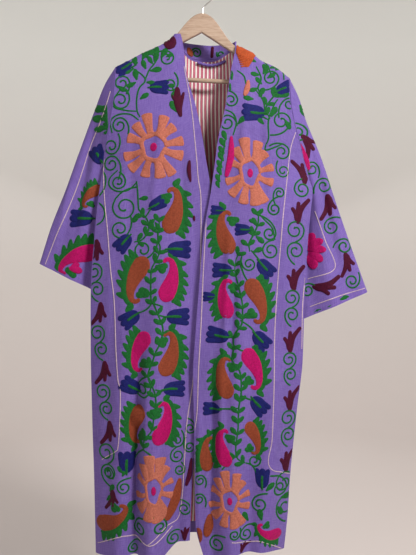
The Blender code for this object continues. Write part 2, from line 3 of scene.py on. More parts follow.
import bpy
import numpy as np
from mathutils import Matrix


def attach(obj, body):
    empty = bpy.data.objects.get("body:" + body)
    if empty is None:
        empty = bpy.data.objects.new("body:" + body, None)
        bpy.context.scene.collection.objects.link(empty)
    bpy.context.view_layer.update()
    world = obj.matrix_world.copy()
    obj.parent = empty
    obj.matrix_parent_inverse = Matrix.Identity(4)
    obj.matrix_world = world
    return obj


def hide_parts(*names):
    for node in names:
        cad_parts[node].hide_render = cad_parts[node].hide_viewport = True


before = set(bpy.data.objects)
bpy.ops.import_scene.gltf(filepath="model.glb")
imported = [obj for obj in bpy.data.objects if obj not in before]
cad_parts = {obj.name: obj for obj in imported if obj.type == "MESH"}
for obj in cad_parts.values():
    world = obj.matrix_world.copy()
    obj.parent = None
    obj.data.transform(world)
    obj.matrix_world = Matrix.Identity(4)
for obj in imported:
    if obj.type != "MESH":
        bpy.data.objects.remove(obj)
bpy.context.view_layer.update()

# Camera, level and square to the jacket
EYE = (0.010, -1.56, -0.729)
LENS = 40.5


def make_camera():
    """The camera at the photograph's place, looking along +Y."""
    lens = bpy.data.cameras.new("camera")
    lens.lens = LENS
    lens.clip_start = 0.05
    lens.clip_end = 60.0
    seat = bpy.data.objects.new("camera", lens)
    seat.location = EYE
    seat.rotation_euler = (math.pi / 2, 0.0, 0.0)
    bpy.context.scene.collection.objects.link(seat)
    bpy.context.scene.camera = seat


make_camera()
bpy.context.scene.view_settings.view_transform = "Standard"

# Hanger
LEAN = math.radians(2.8)
WOOD_TOP = -0.070
ARM_RISE = -0.112
ARM_SLOPE = 0.55
ARM_BEND = 0.018
HUMP = WOOD_TOP - ARM_RISE
HUMP_WIDTH = 0.058

# Cloth
WALL = 0.0022
SEAM_GAP = 0.0003
ON_ARM = 0.0014
WRAP = 0.013
LINING = 0.0010
COLLAR = 0.0028
LOOP_RADIUS = 0.0035
LOOP_MIDDLE = 0.019
LOOP_REACH = 0.035
LOOP_HEIGHT = -0.1785
LOOP_SAG = 0.008
LOOP_CLEAR = 0.0018
UNDERARM = 0.244
FRONT_ROUNDS = 0.45
FOLD_FADES = 0.12
BACK_FOLD_FADES = 0.2
HEM_MIDDLE = -1.40
FOLD_GROWS = 0.55
SEARCH_STEPS = 12

# Sleeves
SLEEVE_CLEAR = 0.0002
RING_SPACING = 1.25
CAP_LENGTH = 0.35
OVAL_POWER = 0.85
SLEEVE_FOLD_START = 0.5
SLEEVE_FOLD_FADES = 0.1

# Neck
NECK_LEFT = -0.078
NECK_RIGHT = 0.080
NECK_BACK = 0.045
NECK_DIP = -0.1705
NECK_CORNER = 0.2
NECK_ON_ARM = 0.3
NECK_FALL = 0.10
NECK_STANDS = 0.082
NECK_TURNS = 0.014
STAND_TOP = -0.125
STAND_FORWARD = -0.0125
COLLAR_TOP = -0.131
COLLAR_FALL = 0.06
COLLAR_LEAST = 0.003
COLLAR_LEAN = 0.006
COLLAR_FITS = 0.985
NECK_MIDDLE = (NECK_LEFT + NECK_RIGHT) / 2
NECK_HALF = (NECK_RIGHT - NECK_LEFT) / 2
COLLAR_HALF = NECK_HALF * COLLAR_FITS
COLLAR_OPENS = 0.02
FOOT_CLEAR = 0.0007
CORNER_CLEAR = 0.0030

# Lining
LINING_RISE = 0.030

# Finer grids and tests of the surfaces
TOUCH = 0.0008
SHARE_TOUCH = 0.004
HALVINGS = 22
FINE_COLUMNS = 240
FRONT_GRID = 76
NECK_GRID = 41
ARM_GRID = 36
OVER_GRID = 9
DOWN_GRID = 200
SLEEVE_GRID = 66
AROUND_GRID = 96
CREASE_FADES = 0.28
SMALL_FADES = 0.05
LINING_FROM = 5
LINING_EDGE = 3
COLLAR_GRID = 61
COLLAR_RISE_GRID = 9
COLLAR_WAVE = 0.0012
COLLAR_WAVES = 95.0
LOOP_GRID = 61
LOOP_AROUND = 18
LOOP_TWIST = 40.0
LOOP_UNEVEN = 0.0003

# Meshes and stitches
SHELL_ANGLE = 60.0
THREAD_ANGLE = 80.0
MM = 0.001
STITCH_RISE = 0.0010
STITCH_STEP = 0.0044
END_WIDTH = 0.0001
END_POINTS = 4
SUNK = 0.0004
MOVED = 1e-5
BORDER = 0.006
SLEEVE_BORDER = 0.012
TOP_BORDER = 0.0015
BACK_STRIP = (-10.0, 50.0)

# Points across a band, for three ranges of its widest half width
NARROW = np.array([-1.0, -0.5, 0.5, 1.0])
WIDE = np.array([-1.0, -0.75, -0.35, 0.35, 0.75, 1.0])
WIDEST = np.array([-1.0, -0.9, -0.66, -0.34, 0.0, 0.34, 0.66, 0.9, 1.0])
WIDE_FROM = 0.0028
WIDEST_FROM = 0.0048
RIM = 0.99

# Stems and leaves. A motif's lines and half widths are shares of its size
VINE = 0.0026
VINE_ENDS = 0.8
VINE_RISE = 0.0011
PIPING = 0.0014
LEAF_LINE = ((0.0, 0.0), (0.5, 0.03), (1.0, 0.0))
LEAF_WIDTHS = (0.25, 0.6, 1.0, 0.95, 0.45)
LEAF_WIDE = 0.27
LEAF_GROWS = 1.25
LEAF_LIFT = 0.0001
LEAF_EVERY = 0.026
LEAF_FIRST = 0.4
LEAF_SPREADS = (38, 48)
STEM_LEAVES = ((1, 0.019), (-1, 0.0165))
STEM_STEP = 0.003
BLADE_LINE = ((0.0, 0.0), (0.5, 0.05), (1.0, 0.0))
BLADE_WIDTHS = (0.35, 0.8, 1.0, 0.9, 0.5)
BLADE_RISE = 0.0015
BLADE_LIFT = 0.0012
RIB_LINE = ((0.0, 0.0), (0.5, -0.05), (1.0, 0.0))
RIB_WIDTHS = (0.02, 0.06, 0.06, 0.02)
BARB_WIDTHS = (0.05, 0.065, 0.05, 0.02)

# Tendrils
CURL_GROWS = 1.28
CURL_MEETS = 0.45
CURL_ARRIVES = 1.6
CURL_SHUTS = 0.80
CURL_WINDS = 1.35
CURL_TURNS = 1.45
CURL_STEPS = 24
CURL_THIN = 0.92
CURL_DOT = 1.35
BORDER_PLACES = ((0.17, -0.09), (0.46, -0.07), (0.67, -0.04), (1.02, -0.02))
UPPER_CURL = 0.185
LOWER_CURL = 0.17

# Bell flowers and sprigs: each petal's or finger's line and half widths
BELL_PETALS = (
    (((-0.5, 0.0), (-0.26, 0.12), (0.05, 0.19), (0.46, 0.29)), (0.08, 0.17, 0.19, 0.17, 0.15, 0.11)),
    (((-0.5, 0.0), (-0.26, -0.12), (0.05, -0.18), (0.43, -0.31)), (0.08, 0.17, 0.19, 0.17, 0.14, 0.10)),
    (((-0.5, 0.0), (-0.15, 0.0), (0.15, 0.0), (0.47, -0.02)), (0.08, 0.19, 0.22, 0.21, 0.17, 0.12)),
)
BELL_RISE = 0.0013
BELL_LAYER = 0.0002
BELL_STRIPE = ((-0.62, 0.0), (-0.2, 0.02), (0.12, 0.0))
BELL_STRIPE_WIDTHS = (0.035, 0.06, 0.075, 0.06)
STRIPE_RISE = 0.0011
STRIPE_LIFT = 0.0013
SPRIG_FINGERS = (
    (((-0.5, 0.0), (-0.15, 0.0), (0.15, -0.09), (0.52, -0.34)), (0.09, 0.13, 0.115, 0.09, 0.075)),
    (((-0.45, 0.02), (-0.1, 0.05), (0.34, 0.08)), (0.09, 0.125, 0.10, 0.085, 0.075)),
    (((-0.42, 0.03), (-0.15, 0.12), (0.08, 0.32)), (0.08, 0.11, 0.095, 0.08, 0.07)),
)
SPRIG_RISE = 0.0012
SPRIG_LAYER = 0.00015

# Commas: the body, its green edge and teeth, and the leaf in its hook, as turns and lengths
COMMA_LINE = ((-0.2, 0.05), (0.0, 0.0), (0.4, -0.06), (0.76, -0.03), (0.96, 0.09), (0.96, 0.22), (0.86, 0.28))
COMMA_WIDTHS = (0.17, 0.245, 0.245, 0.205, 0.15, 0.105, 0.072, 0.05)
COMMA_STEP = 0.04
COMMA_RISE = 0.0016
COMMA_LIFT = 0.0003
EDGE_OUT = 0.035
EDGE_WIDTHS = (0.05, 0.10, 0.095, 0.07)
TEETH = 7
TOOTH_WIDTHS = (0.08, 0.10, 0.075, 0.03)
TOOTH_LEANS = 0.55
TOOTH_ROOT = 0.03
HOOK_INSIDE = (0.80, 0.34)
HOOK_LEAVES = ((148, 0.17), (205, 0.22), (257, 0.17))
HOOK_LEAF_WIDE = 0.42

# Round flowers: each change is a share and the rate of its sine, for a petal's place, bend and breadth
PETALS = 12
PETAL_CHANGES = ((0.16, 2.3), (0.05, 4.1), (0.16, 3.1))
PETAL_WIDTHS = (0.105, 0.10, 0.12, 0.15, 0.17)
PETAL_RISE = 0.0017
PETAL_BLUNT = 0.3
DOT_RISE = 0.0014

# Dark bars on the collar, and the coarse patch beside the neck: the ends of three of its cords
BAR_WIDTHS = (0.0045, 0.0045, 0.0045)
BAR_RISE = 0.0013
PATCH = (
    (0.0800, -0.1545, 0.1270, -0.1790),
    (0.0785, -0.1730, 0.1210, -0.1930),
    (0.0910, -0.2100, 0.1110, -0.2080),
)
PATCH_SHARES = (0.0, 0.55, 1.0)
PATCH_ROWS = 15
PATCH_CORD = (0.0018, 0.0022, 0.0024, 0.0022, 0.0018)
PATCH_RISE = 0.0026
PATCH_LIFT = 0.0002
PATCH_STEP = 0.003
PATCH_WAVE = 0.0006

# Thread colours, and the scales of their lines
THREADS = {
    "green": (0.006, 0.088, 0.016),
    "navy": (0.006, 0.008, 0.085),
    "peach": (0.350, 0.105, 0.070),
    "pink": (0.310, 0.001, 0.082),
    "rust": (0.180, 0.036, 0.015),
    "maroon": (0.045, 0.001, 0.014),
    "cream": (0.420, 0.320, 0.360),
    "orange": (0.340, 0.060, 0.017),
}
THREAD_LINES = (2600.0, 260.0, 1.0)

# Cotton and lining: colours, the weave's pitch, and the scales of slubs and wrinkles
PURPLE_COLOUR = (0.114, 0.065, 0.262)
SLUB_DARK = (0.10, 0.07, 0.30)
SLUB_PALE = (0.42, 0.34, 0.80)
SLUBS_DOWN = (900.0, 40.0, 1.0)
SLUBS_ACROSS = (40.0, 900.0, 1.0)
WRINKLES_UPRIGHT = (1.0, 1.0, 0.45)
COTTON_PITCH = 0.0009
STRIPE = 0.0100
OFF_WHITE = (0.74, 0.66, 0.62)
ROSE = (0.40, 0.040, 0.100)
DARK = (0.075, 0.035, 0.060)
LINING_STOPS = (
    (0.00, OFF_WHITE),
    (0.30, OFF_WHITE),
    (0.34, DARK),
    (0.42, DARK),
    (0.46, ROSE),
    (0.86, ROSE),
    (0.89, DARK),
    (0.96, DARK),
    (1.00, OFF_WHITE),
)
LINING_SHADE = (0.20, 0.12, 0.14)
LINING_PALE = (0.95, 0.88, 0.82)
LINING_SLUBS = (1400.0, 60.0, 1.0)
LINING_PITCH = 0.0008

# Beech and steel
GRAIN_STOPS = ((0.30, (0.22, 0.142, 0.096)), (0.50, (0.33, 0.228, 0.165)), (0.72, (0.42, 0.312, 0.240)))
GRAIN_ALONG = (6.0, 60.0, 90.0)
FLECK_STOPS = ((0.36, (0.22, 0.12, 0.06)), (0.50, (0.42, 0.300, 0.215)))
FLECKS_ALONG = (60.0, 400.0, 700.0)
STEEL_DULL = (0.42, 0.40, 0.37)
STEEL_BRIGHT = (0.66, 0.65, 0.63)
SCRATCHES = (300.0, 2500.0, 300.0)

# Room, and its lights by place, point aimed at, size, power and colour
FLOOR = -1.75
FLOOR_RADIUS = 2.6
FLOOR_BEND = 1.1
BEND_ROWS = 12
WALL_SIDES = 96
WALL_TOP = 2.6
WALL_LOW = -1.7
WALL_HIGH = 1.1
# Colours of the backdrop at WALL_LOW and WALL_HIGH: the darker low colour is painted shade, so the wall grows
# darker towards the bottom
WALL_PAINTED_SHADE = (0.60, 0.535, 0.510)
WALL_PALE = (0.89, 0.895, 0.865)
LIGHTS = {
    "key": ((1.6, -1.8, 1.0), (0.0, 0.0, -0.70), 0.6, 108.0, (1.0, 0.985, 0.965)),
    "fill": ((-1.6, -2.2, 0.5), (0.0, 0.0, -0.6), 2.0, 15.0, (0.97, 0.98, 1.0)),
    "rear": ((0.0, 2.6, 1.0), (0.0, 0.6, -0.7), 2.2, 34.0, (1.0, 1.0, 1.0)),
}
ROOM_COLOUR = (0.80, 0.79, 0.76, 1.0)
ROOM_STRENGTH = 0.30


def table(columns, *rows):
    """A table by column name, a row to each section, with the first column rising."""
    return dict(zip(columns.split(), np.array(rows, float).T))


# Outline of the body at each height: the two side seams, with half the armhole's depth
SIDE_LEFT = table(
    "height x y half",
    (-1.420, -0.269, 0.000, 0.0013),
    (-1.240, -0.273, 0.000, 0.0013),
    (-1.070, -0.278, -0.002, 0.0013),
    (-0.900, -0.281, -0.006, 0.0013),
    (-0.755, -0.280, -0.011, 0.0013),
    (-0.630, -0.271, -0.011, 0.0013),
    (-0.530, -0.262, -0.006, 0.0013),
    (-0.455, -0.252, 0.000, 0.0013),
    (-0.400, -0.243, 0.000, 0.0120),
    (-0.330, -0.229, 0.000, 0.0210),
    (-0.260, -0.221, 0.000, 0.0200),
    (-0.208, -0.219, 0.000, 0.0120),
)
SIDE_RIGHT = table(
    "height x y half",
    (-1.420, 0.197, 0.000, 0.0013),
    (-1.318, 0.208, 0.000, 0.0013),
    (-1.226, 0.214, 0.000, 0.0013),
    (-1.058, 0.231, -0.002, 0.0013),
    (-0.930, 0.245, -0.006, 0.0013),
    (-0.800, 0.248, -0.011, 0.0013),
    (-0.640, 0.257, -0.011, 0.0013),
    (-0.570, 0.264, -0.008, 0.0013),
    (-0.515, 0.270, -0.004, 0.0013),
    (-0.470, 0.256, 0.000, 0.0013),
    (-0.400, 0.238, 0.000, 0.0130),
    (-0.345, 0.222, 0.000, 0.0210),
    (-0.285, 0.213, 0.000, 0.0200),
    (-0.223, 0.211, 0.000, 0.0120),
)
EDGE_RIGHT_FRONT = table(
    "height x y",
    (-1.420, -0.036, -0.042),
    (-1.260, -0.030, -0.042),
    (-1.080, -0.019, -0.042),
    (-0.876, -0.003, -0.042),
    (-0.640, 0.014, -0.041),
    (-0.512, 0.015, -0.040),
    (-0.434, 0.004, -0.039),
    (-0.396, -0.002, -0.038),
    (-0.313, -0.019, -0.034),
    (-0.228, -0.043, -0.026),
    (-0.149, -0.052, -0.014),
    (-0.125, -0.058, -0.0125),
)
EDGE_LEFT_FRONT = table(
    "height x y",
    (-1.420, 0.004, -0.048),
    (-1.322, -0.020, -0.051),
    (-1.108, -0.023, -0.052),
    (-0.958, -0.026, -0.052),
    (-0.876, -0.021, -0.052),
    (-0.708, -0.008, -0.051),
    (-0.619, 0.000, -0.050),
    (-0.527, 0.016, -0.049),
    (-0.456, 0.026, -0.045),
    (-0.396, 0.034, -0.040),
    (-0.308, 0.053, -0.034),
    (-0.216, 0.067, -0.025),
    (-0.174, 0.076, -0.015),
    (-0.151, 0.079, -0.012),
)

# Where the shoulder seam stands off the arm
PUFFS = table(
    "place width rise",
    (-0.150, 0.030, 0.002),
    (0.112, 0.020, 0.008),
    (0.178, 0.026, 0.007),
)

# Depth of the hanging cloth, by how far it hangs below its top edge
DEPTH = table(
    "drop front back power",
    (0.000, 0.012, 0.012, 3.0),
    (0.050, 0.019, 0.017, 3.0),
    (0.100, 0.028, 0.025, 3.0),
    (0.180, 0.039, 0.035, 3.0),
    (0.300, 0.047, 0.042, 3.0),
    (0.650, 0.057, 0.049, 3.4),
    (0.900, 0.062, 0.056, 4.4),
    (1.300, 0.069, 0.064, 5.0),
)

# Hem height across each panel, from its edge to its side seam, and across the back
HEM_RIGHT_FRONT = table(
    "across height",
    (0.00, -1.368),
    (0.12, -1.373),
    (0.32, -1.402),
    (0.65, -1.398),
    (1.00, -1.415),
)
HEM_LEFT_FRONT = table(
    "across height",
    (0.00, -1.403),
    (0.15, -1.407),
    (0.40, -1.391),
    (0.70, -1.388),
    (1.00, -1.404),
)
HEM_BACK = table(
    "across height",
    (0.00, -1.415),
    (0.25, -1.400),
    (0.50, -1.396),
    (0.75, -1.393),
    (1.00, -1.404),
)

# Largest folds: where each runs at its top and at the hem, half its width, and how far it stands out
FOLDS_RIGHT_FRONT = table(
    "top top_x hem_x width out",
    (-0.62, -0.110, -0.126, 0.024, 0.017),
    (-0.80, -0.158, -0.164, 0.016, -0.018),
    (-0.50, -0.185, -0.208, 0.026, 0.012),
    (-0.86, -0.052, -0.070, 0.022, -0.012),
    (-0.30, -0.090, -0.100, 0.030, 0.005),
    (-0.28, -0.165, -0.175, 0.026, -0.006),
)
FOLDS_LEFT_FRONT = table(
    "top top_x hem_x width out",
    (-0.56, 0.094, 0.062, 0.024, 0.014),
    (-0.70, 0.160, 0.108, 0.022, -0.013),
    (-0.55, 0.205, 0.150, 0.026, 0.011),
    (-0.95, 0.036, 0.024, 0.016, -0.006),
    (-0.30, 0.125, 0.130, 0.028, 0.006),
    (-0.30, 0.180, 0.190, 0.022, -0.006),
)
FOLDS_BACK = table(
    "top top_x hem_x width out",
    (-0.34, -0.150, -0.190, 0.030, 0.012),
    (-0.42, -0.080, -0.105, 0.026, -0.010),
    (-0.36, -0.010, -0.030, 0.034, 0.014),
    (-0.48, 0.070, 0.050, 0.026, -0.011),
    (-0.38, 0.150, 0.120, 0.030, 0.012),
)

# Each sleeve: its outer and inner edges, the middle of its depth and half its depth, cap to cuff
SLEEVE_RIGHT = table(
    "along outer_x outer_z inner_x inner_z middle half",
    (0.00, -0.221, -0.209, -0.2525, -0.453, 0.000, 0.020),
    (0.10, -0.250, -0.250, -0.257, -0.474, 0.011, 0.020),
    (0.22, -0.278, -0.312, -0.254, -0.512, 0.024, 0.021),
    (0.40, -0.316, -0.410, -0.249, -0.580, 0.029, 0.021),
    (0.60, -0.352, -0.510, -0.246, -0.650, 0.029, 0.020),
    (0.80, -0.388, -0.600, -0.245, -0.716, 0.031, 0.020),
    (1.00, -0.418, -0.694, -0.245, -0.778, 0.032, 0.021),
)
SLEEVE_LEFT = table(
    "along outer_x outer_z inner_x inner_z middle half",
    (0.00, 0.213, -0.224, 0.2525, -0.466, 0.000, 0.020),
    (0.10, 0.238, -0.272, 0.262, -0.490, 0.012, 0.020),
    (0.22, 0.260, -0.334, 0.262, -0.535, 0.028, 0.021),
    (0.40, 0.297, -0.424, 0.252, -0.612, 0.033, 0.021),
    (0.60, 0.334, -0.535, 0.240, -0.694, 0.033, 0.020),
    (0.80, 0.373, -0.650, 0.231, -0.770, 0.031, 0.020),
    (1.00, 0.415, -0.766, 0.226, -0.844, 0.032, 0.021),
)
SLEEVE_FOLDS = table(
    "place width out",
    (0.22, 0.10, -0.005),
    (0.48, 0.10, 0.006),
    (0.72, 0.09, -0.005),
)

# Creases: where each starts and ends, half its width, and how far it stands out
CREASES_RIGHT = table(
    "start_x start_z end_x end_z width out",
    (-0.10, -0.30, -0.13, -0.62, 0.012, 0.0050),
    (-0.17, -0.33, -0.19, -0.70, 0.012, -0.0055),
    (-0.055, -0.36, -0.045, -0.86, 0.011, -0.0045),
    (-0.020, -0.52, -0.036, -1.10, 0.013, -0.0060),
    (-0.152, -0.86, -0.168, -1.38, 0.009, -0.0080),
    (-0.134, -0.86, -0.149, -1.40, 0.010, 0.0085),
    (-0.225, -0.60, -0.245, -1.00, 0.012, 0.0055),
    (-0.095, -0.70, -0.085, -1.10, 0.014, -0.0045),
    (-0.080, -1.02, -0.100, -1.40, 0.012, -0.0065),
    (-0.235, -0.92, -0.232, -1.38, 0.011, -0.0060),
    (-0.20, -0.42, -0.11, -0.50, 0.010, -0.0025),
    (-0.21, -0.83, -0.13, -0.79, 0.010, 0.0020),
)
CREASES_LEFT = table(
    "start_x start_z end_x end_z width out",
    (0.135, -0.27, 0.150, -0.62, 0.012, -0.0050),
    (0.105, -0.28, 0.080, -0.60, 0.011, 0.0050),
    (0.066, -0.56, 0.046, -0.98, 0.009, 0.0070),
    (0.082, -0.58, 0.061, -1.00, 0.010, -0.0075),
    (0.024, -0.88, 0.020, -1.40, 0.009, -0.0085),
    (0.042, -0.86, 0.038, -1.40, 0.011, 0.0085),
    (0.185, -0.45, 0.205, -0.90, 0.012, 0.0050),
    (0.120, -0.80, 0.100, -1.36, 0.012, -0.0050),
    (0.180, -0.92, 0.165, -1.38, 0.012, 0.0060),
    (-0.010, -0.98, -0.020, -1.40, 0.009, 0.0050),
    (0.090, -0.36, 0.170, -0.42, 0.010, -0.0025),
    (0.060, -0.78, 0.150, -0.84, 0.010, 0.0020),
)
CREASES_BACK = table(
    "start_x start_z end_x end_z width out",
    (-0.19, -0.32, -0.20, -0.75, 0.011, -0.0056),
    (-0.11, -0.42, -0.13, -0.95, 0.010, 0.0056),
    (0.03, -0.38, 0.02, -0.90, 0.010, -0.0056),
    (0.12, -0.36, 0.10, -0.80, 0.011, 0.0048),
    (0.19, -0.60, 0.17, -1.20, 0.010, -0.0064),
    (-0.06, -0.80, -0.08, -1.35, 0.010, 0.0064),
    (-0.22, -0.80, -0.22, -1.36, 0.011, 0.0064),
    (0.09, -0.95, 0.07, -1.37, 0.010, 0.0056),
)
CREASES_RIGHT_SLEEVE = table(
    "start_x start_z end_x end_z width out",
    (-0.27, -0.30, -0.33, -0.66, 0.010, -0.0048),
    (-0.25, -0.36, -0.27, -0.72, 0.009, 0.0040),
    (-0.33, -0.45, -0.38, -0.68, 0.010, 0.0040),
)
CREASES_LEFT_SLEEVE = table(
    "start_x start_z end_x end_z width out",
    (0.25, -0.34, 0.30, -0.74, 0.010, -0.0048),
    (0.30, -0.44, 0.36, -0.74, 0.010, 0.0048),
    (0.26, -0.52, 0.26, -0.80, 0.009, -0.0040),
)

# Motifs by kind, in millimetres and degrees: the places in each row are what KINDS and its functions read
RIGHT_MARKS = {
    "daisy": (
        (-122, -412, 79, 87), (-119, -1235, 48, 87),
    ),
    "tulip": (
        (-200, -211, 215, 47), (-108, -263, 0, 49), (-112, -551, 28, 43, -1), (-197, -646, 228, 51, -1),
        (-58, -661, 0, 58), (-61, -824, 0, 56), (-180, -830, 214, 53, -1), (-178, -991, 150, 53),
        (-70, -998, 0, 53), (-186, -1172, 90, 53),
    ),
    "rust": (
        (-82, -605, -60, -517, 1), (-149, -696, -184, -783, 1), (-91, -949, -70, -865, 1),
        (-155, -1052, -174, -1126, 1), (-250, -1332, -182, -1291, 1),
    ),
    "pink": (
        (-91, -771, -71, -687, 1), (-143, -875, -173, -950, 1), (-106, -1112, -84, -1033, 1),
    ),
    "rust_leaf": (
        (-58, -1217, -91, -1315, 0.12),
    ),
    "maroon_leaf": (
        (-30, -1167, -43, -1235, 0.09), (-82, -127, -89, -165, 0.42), (-56, -338, -65, -263, 0.13),
        (-57, -326, -49, -276, 0.1), (-63, -306, -78, -283, 0.12), (-32, -497, -35, -444, 0.1),
        (-23, -592, -24, -578, 0.25),
    ),
    "leaf": (
        (-65, -326, 120, 26), (-70, -301, 100, 22), (-165, -243, 100, 24), (-167, -248, 205, 21),
        (-187, -270, 160, 19), (-157, -292, 32, 21), (-143, -215, 110, 21), (-133, -220, 8, 24),
        (-123, -197, 70, 22), (-126, -202, 120, 19), (-158, -538, 5, 19), (-158, -572, 235, 22),
        (-94, -185, 20, 16), (-147, -179, 25, 22), (-58, -291, 120, 22), (-196, -1207, 60, 19),
        (-228, -1250, 60, 19), (-237, -1273, 40, 19), (-103, -270, 180, 13), (-130, -588, -80, 21),
        (-118, -595, -60, 19), (-192, -1200, 130, 18), (-116, -187, 95, 27), (-106, -188, 60, 24),
        (-138, -187, 125, 22), (-153, -191, 60, 21), (-168, -206, 100, 22), (-175, -214, 200, 21),
        (-142, -249, -10, 19), (-93, -260, 0, 18), (-236, -272, 230, 19),
    ),
    "sprig": (
        (-44, -1349, 80, 39), (-267, -666, -94, 64), (-257, -819, -98, 61), (-245, -963, -96, 61),
        (-231, -1108, -94, 61), (-222, -1267, -92, 53),
    ),
    "border": (
        (-267, -459, -267, -631, 1), (-264, -698, -257, -787, 1), (-257, -851, -244, -931, 1),
        (-242, -995, -231, -1076, 1), (-231, -1140, -225, -1235, 1),
    ),
    "curl": (
        (-202, -250, 15, -192, -278, 1), (-205, -293, 17, -194, -263, -1), (-207, -355, 15, -186, -378, 1),
        (-228, -405, 15, -211, -374, -1), (-229, -448, 16, -211, -489, 1),
        (-210, -494, 14, -209, -469, -1), (-194, -557, 24, -163, -508, 1),
        (-205, -611, 17, -178, -579, -1), (-147, -662, 18, -111, -619, -1),
        (-148, -1000, 14, -130, -968, -1), (-65, -1125, 12, -55, -1099, -1),
        (-65, -1161, 13, -58, -1138, 1), (-59, -1196, 10, -56, -1177, -1),
        (-232, -1205, 10, -220, -1218, 1), (-193, -1234, 12, -176, -1213, 1),
        (-154, -1332, 12, -132, -1302, 1), (-105, -1325, 12, -122, -1297, -1),
        (-170, -1382, 10, -148, -1363, 1), (-74, -1361, 12, -58, -1344, 1),
        (-47, -1291, 12, -63, -1270, -1), (-33, -1095, 10, -41, -1070, -1),
        (-35, -1140, 10, -43, -1116, 1), (-92, -188, 14, -114, -172, -1), (-81, -256, 13, -73, -225, -1),
    ),
    "vine": (
        (-178, -210, -150, -232, -145, -247, -159, -264, -165, -293, -163, -322, -156, -337),
        (-145, -244, -135, -218, -123, -202, -112, -185),
        (-164, -322, -191, -319, -220, -310, -223, -292, -204, -263),
        (-159, -344, -181, -329, -211, -329, -230, -344, -226, -373),
        (-163, -496, -186, -515, -213, -517, -233, -503, -232, -483, -212, -464),
        (-164, -493, -161, -522, -159, -559, -155, -567, -144, -583, -125, -559),
        (-108, -663, -93, -668, -82, -663), (-110, -819, -93, -824, -81, -824),
        (-122, -788, -137, -805, -157, -815), (-125, -790, -110, -795, -98, -800),
        (-128, -961, -149, -974, -162, -990), (-116, -996, -100, -1000, -88, -997),
        (-144, -1139, -169, -1167, -182, -1197), (-144, -1139, -127, -1149, -120, -1160),
        (-184, -281, -197, -263, -214, -257), (-113, -185, -133, -176, -151, -178),
        (-163, -196, -178, -209, -203, -211), (-81, -256, -68, -283, -58, -296),
        (-133, -197, -138, -182, -144, -170), (-227, -247, -241, -282, -248, -317),
    ),
    "stem": (
        (-153, -572, -138, -587, -133, -612, -148, -636, -170, -643),
        (
            -106, -583, -111, -634, -105, -658, -113, -686, -122, -700, -127, -719, -127, -780, -121, -791,
            -110, -818, -99, -851, -104, -884, -115, -908, -123, -933, -131, -954, -131, -973, -117, -1002,
            -114, -1037, -119, -1066, -123, -1092, -140, -1114, -144, -1139,
        ),
    ),
    "line": (
        (
            -49, -209, -31, -311, -22, -395, -17, -448, -14, -487, -8, -526, -7, -565, -7, -638, -9, -735,
            -17, -857, -26, -978, -41, -1080, -47, -1170, -53, -1263, -63, -1314, -91, -1329, -134, -1364,
        ),
        (
            -247, -425, -250, -466, -245, -540, -237, -610, -228, -708, -218, -791, -213, -902, -207, -976,
            -201, -1002, -202, -1076, -206, -1136, -214, -1150, -250, -1176,
        ),
        (-263, -1387, -206, -1353, -178, -1352, -154, -1358, -129, -1364, -104, -1354, -77, -1331),
    ),
}
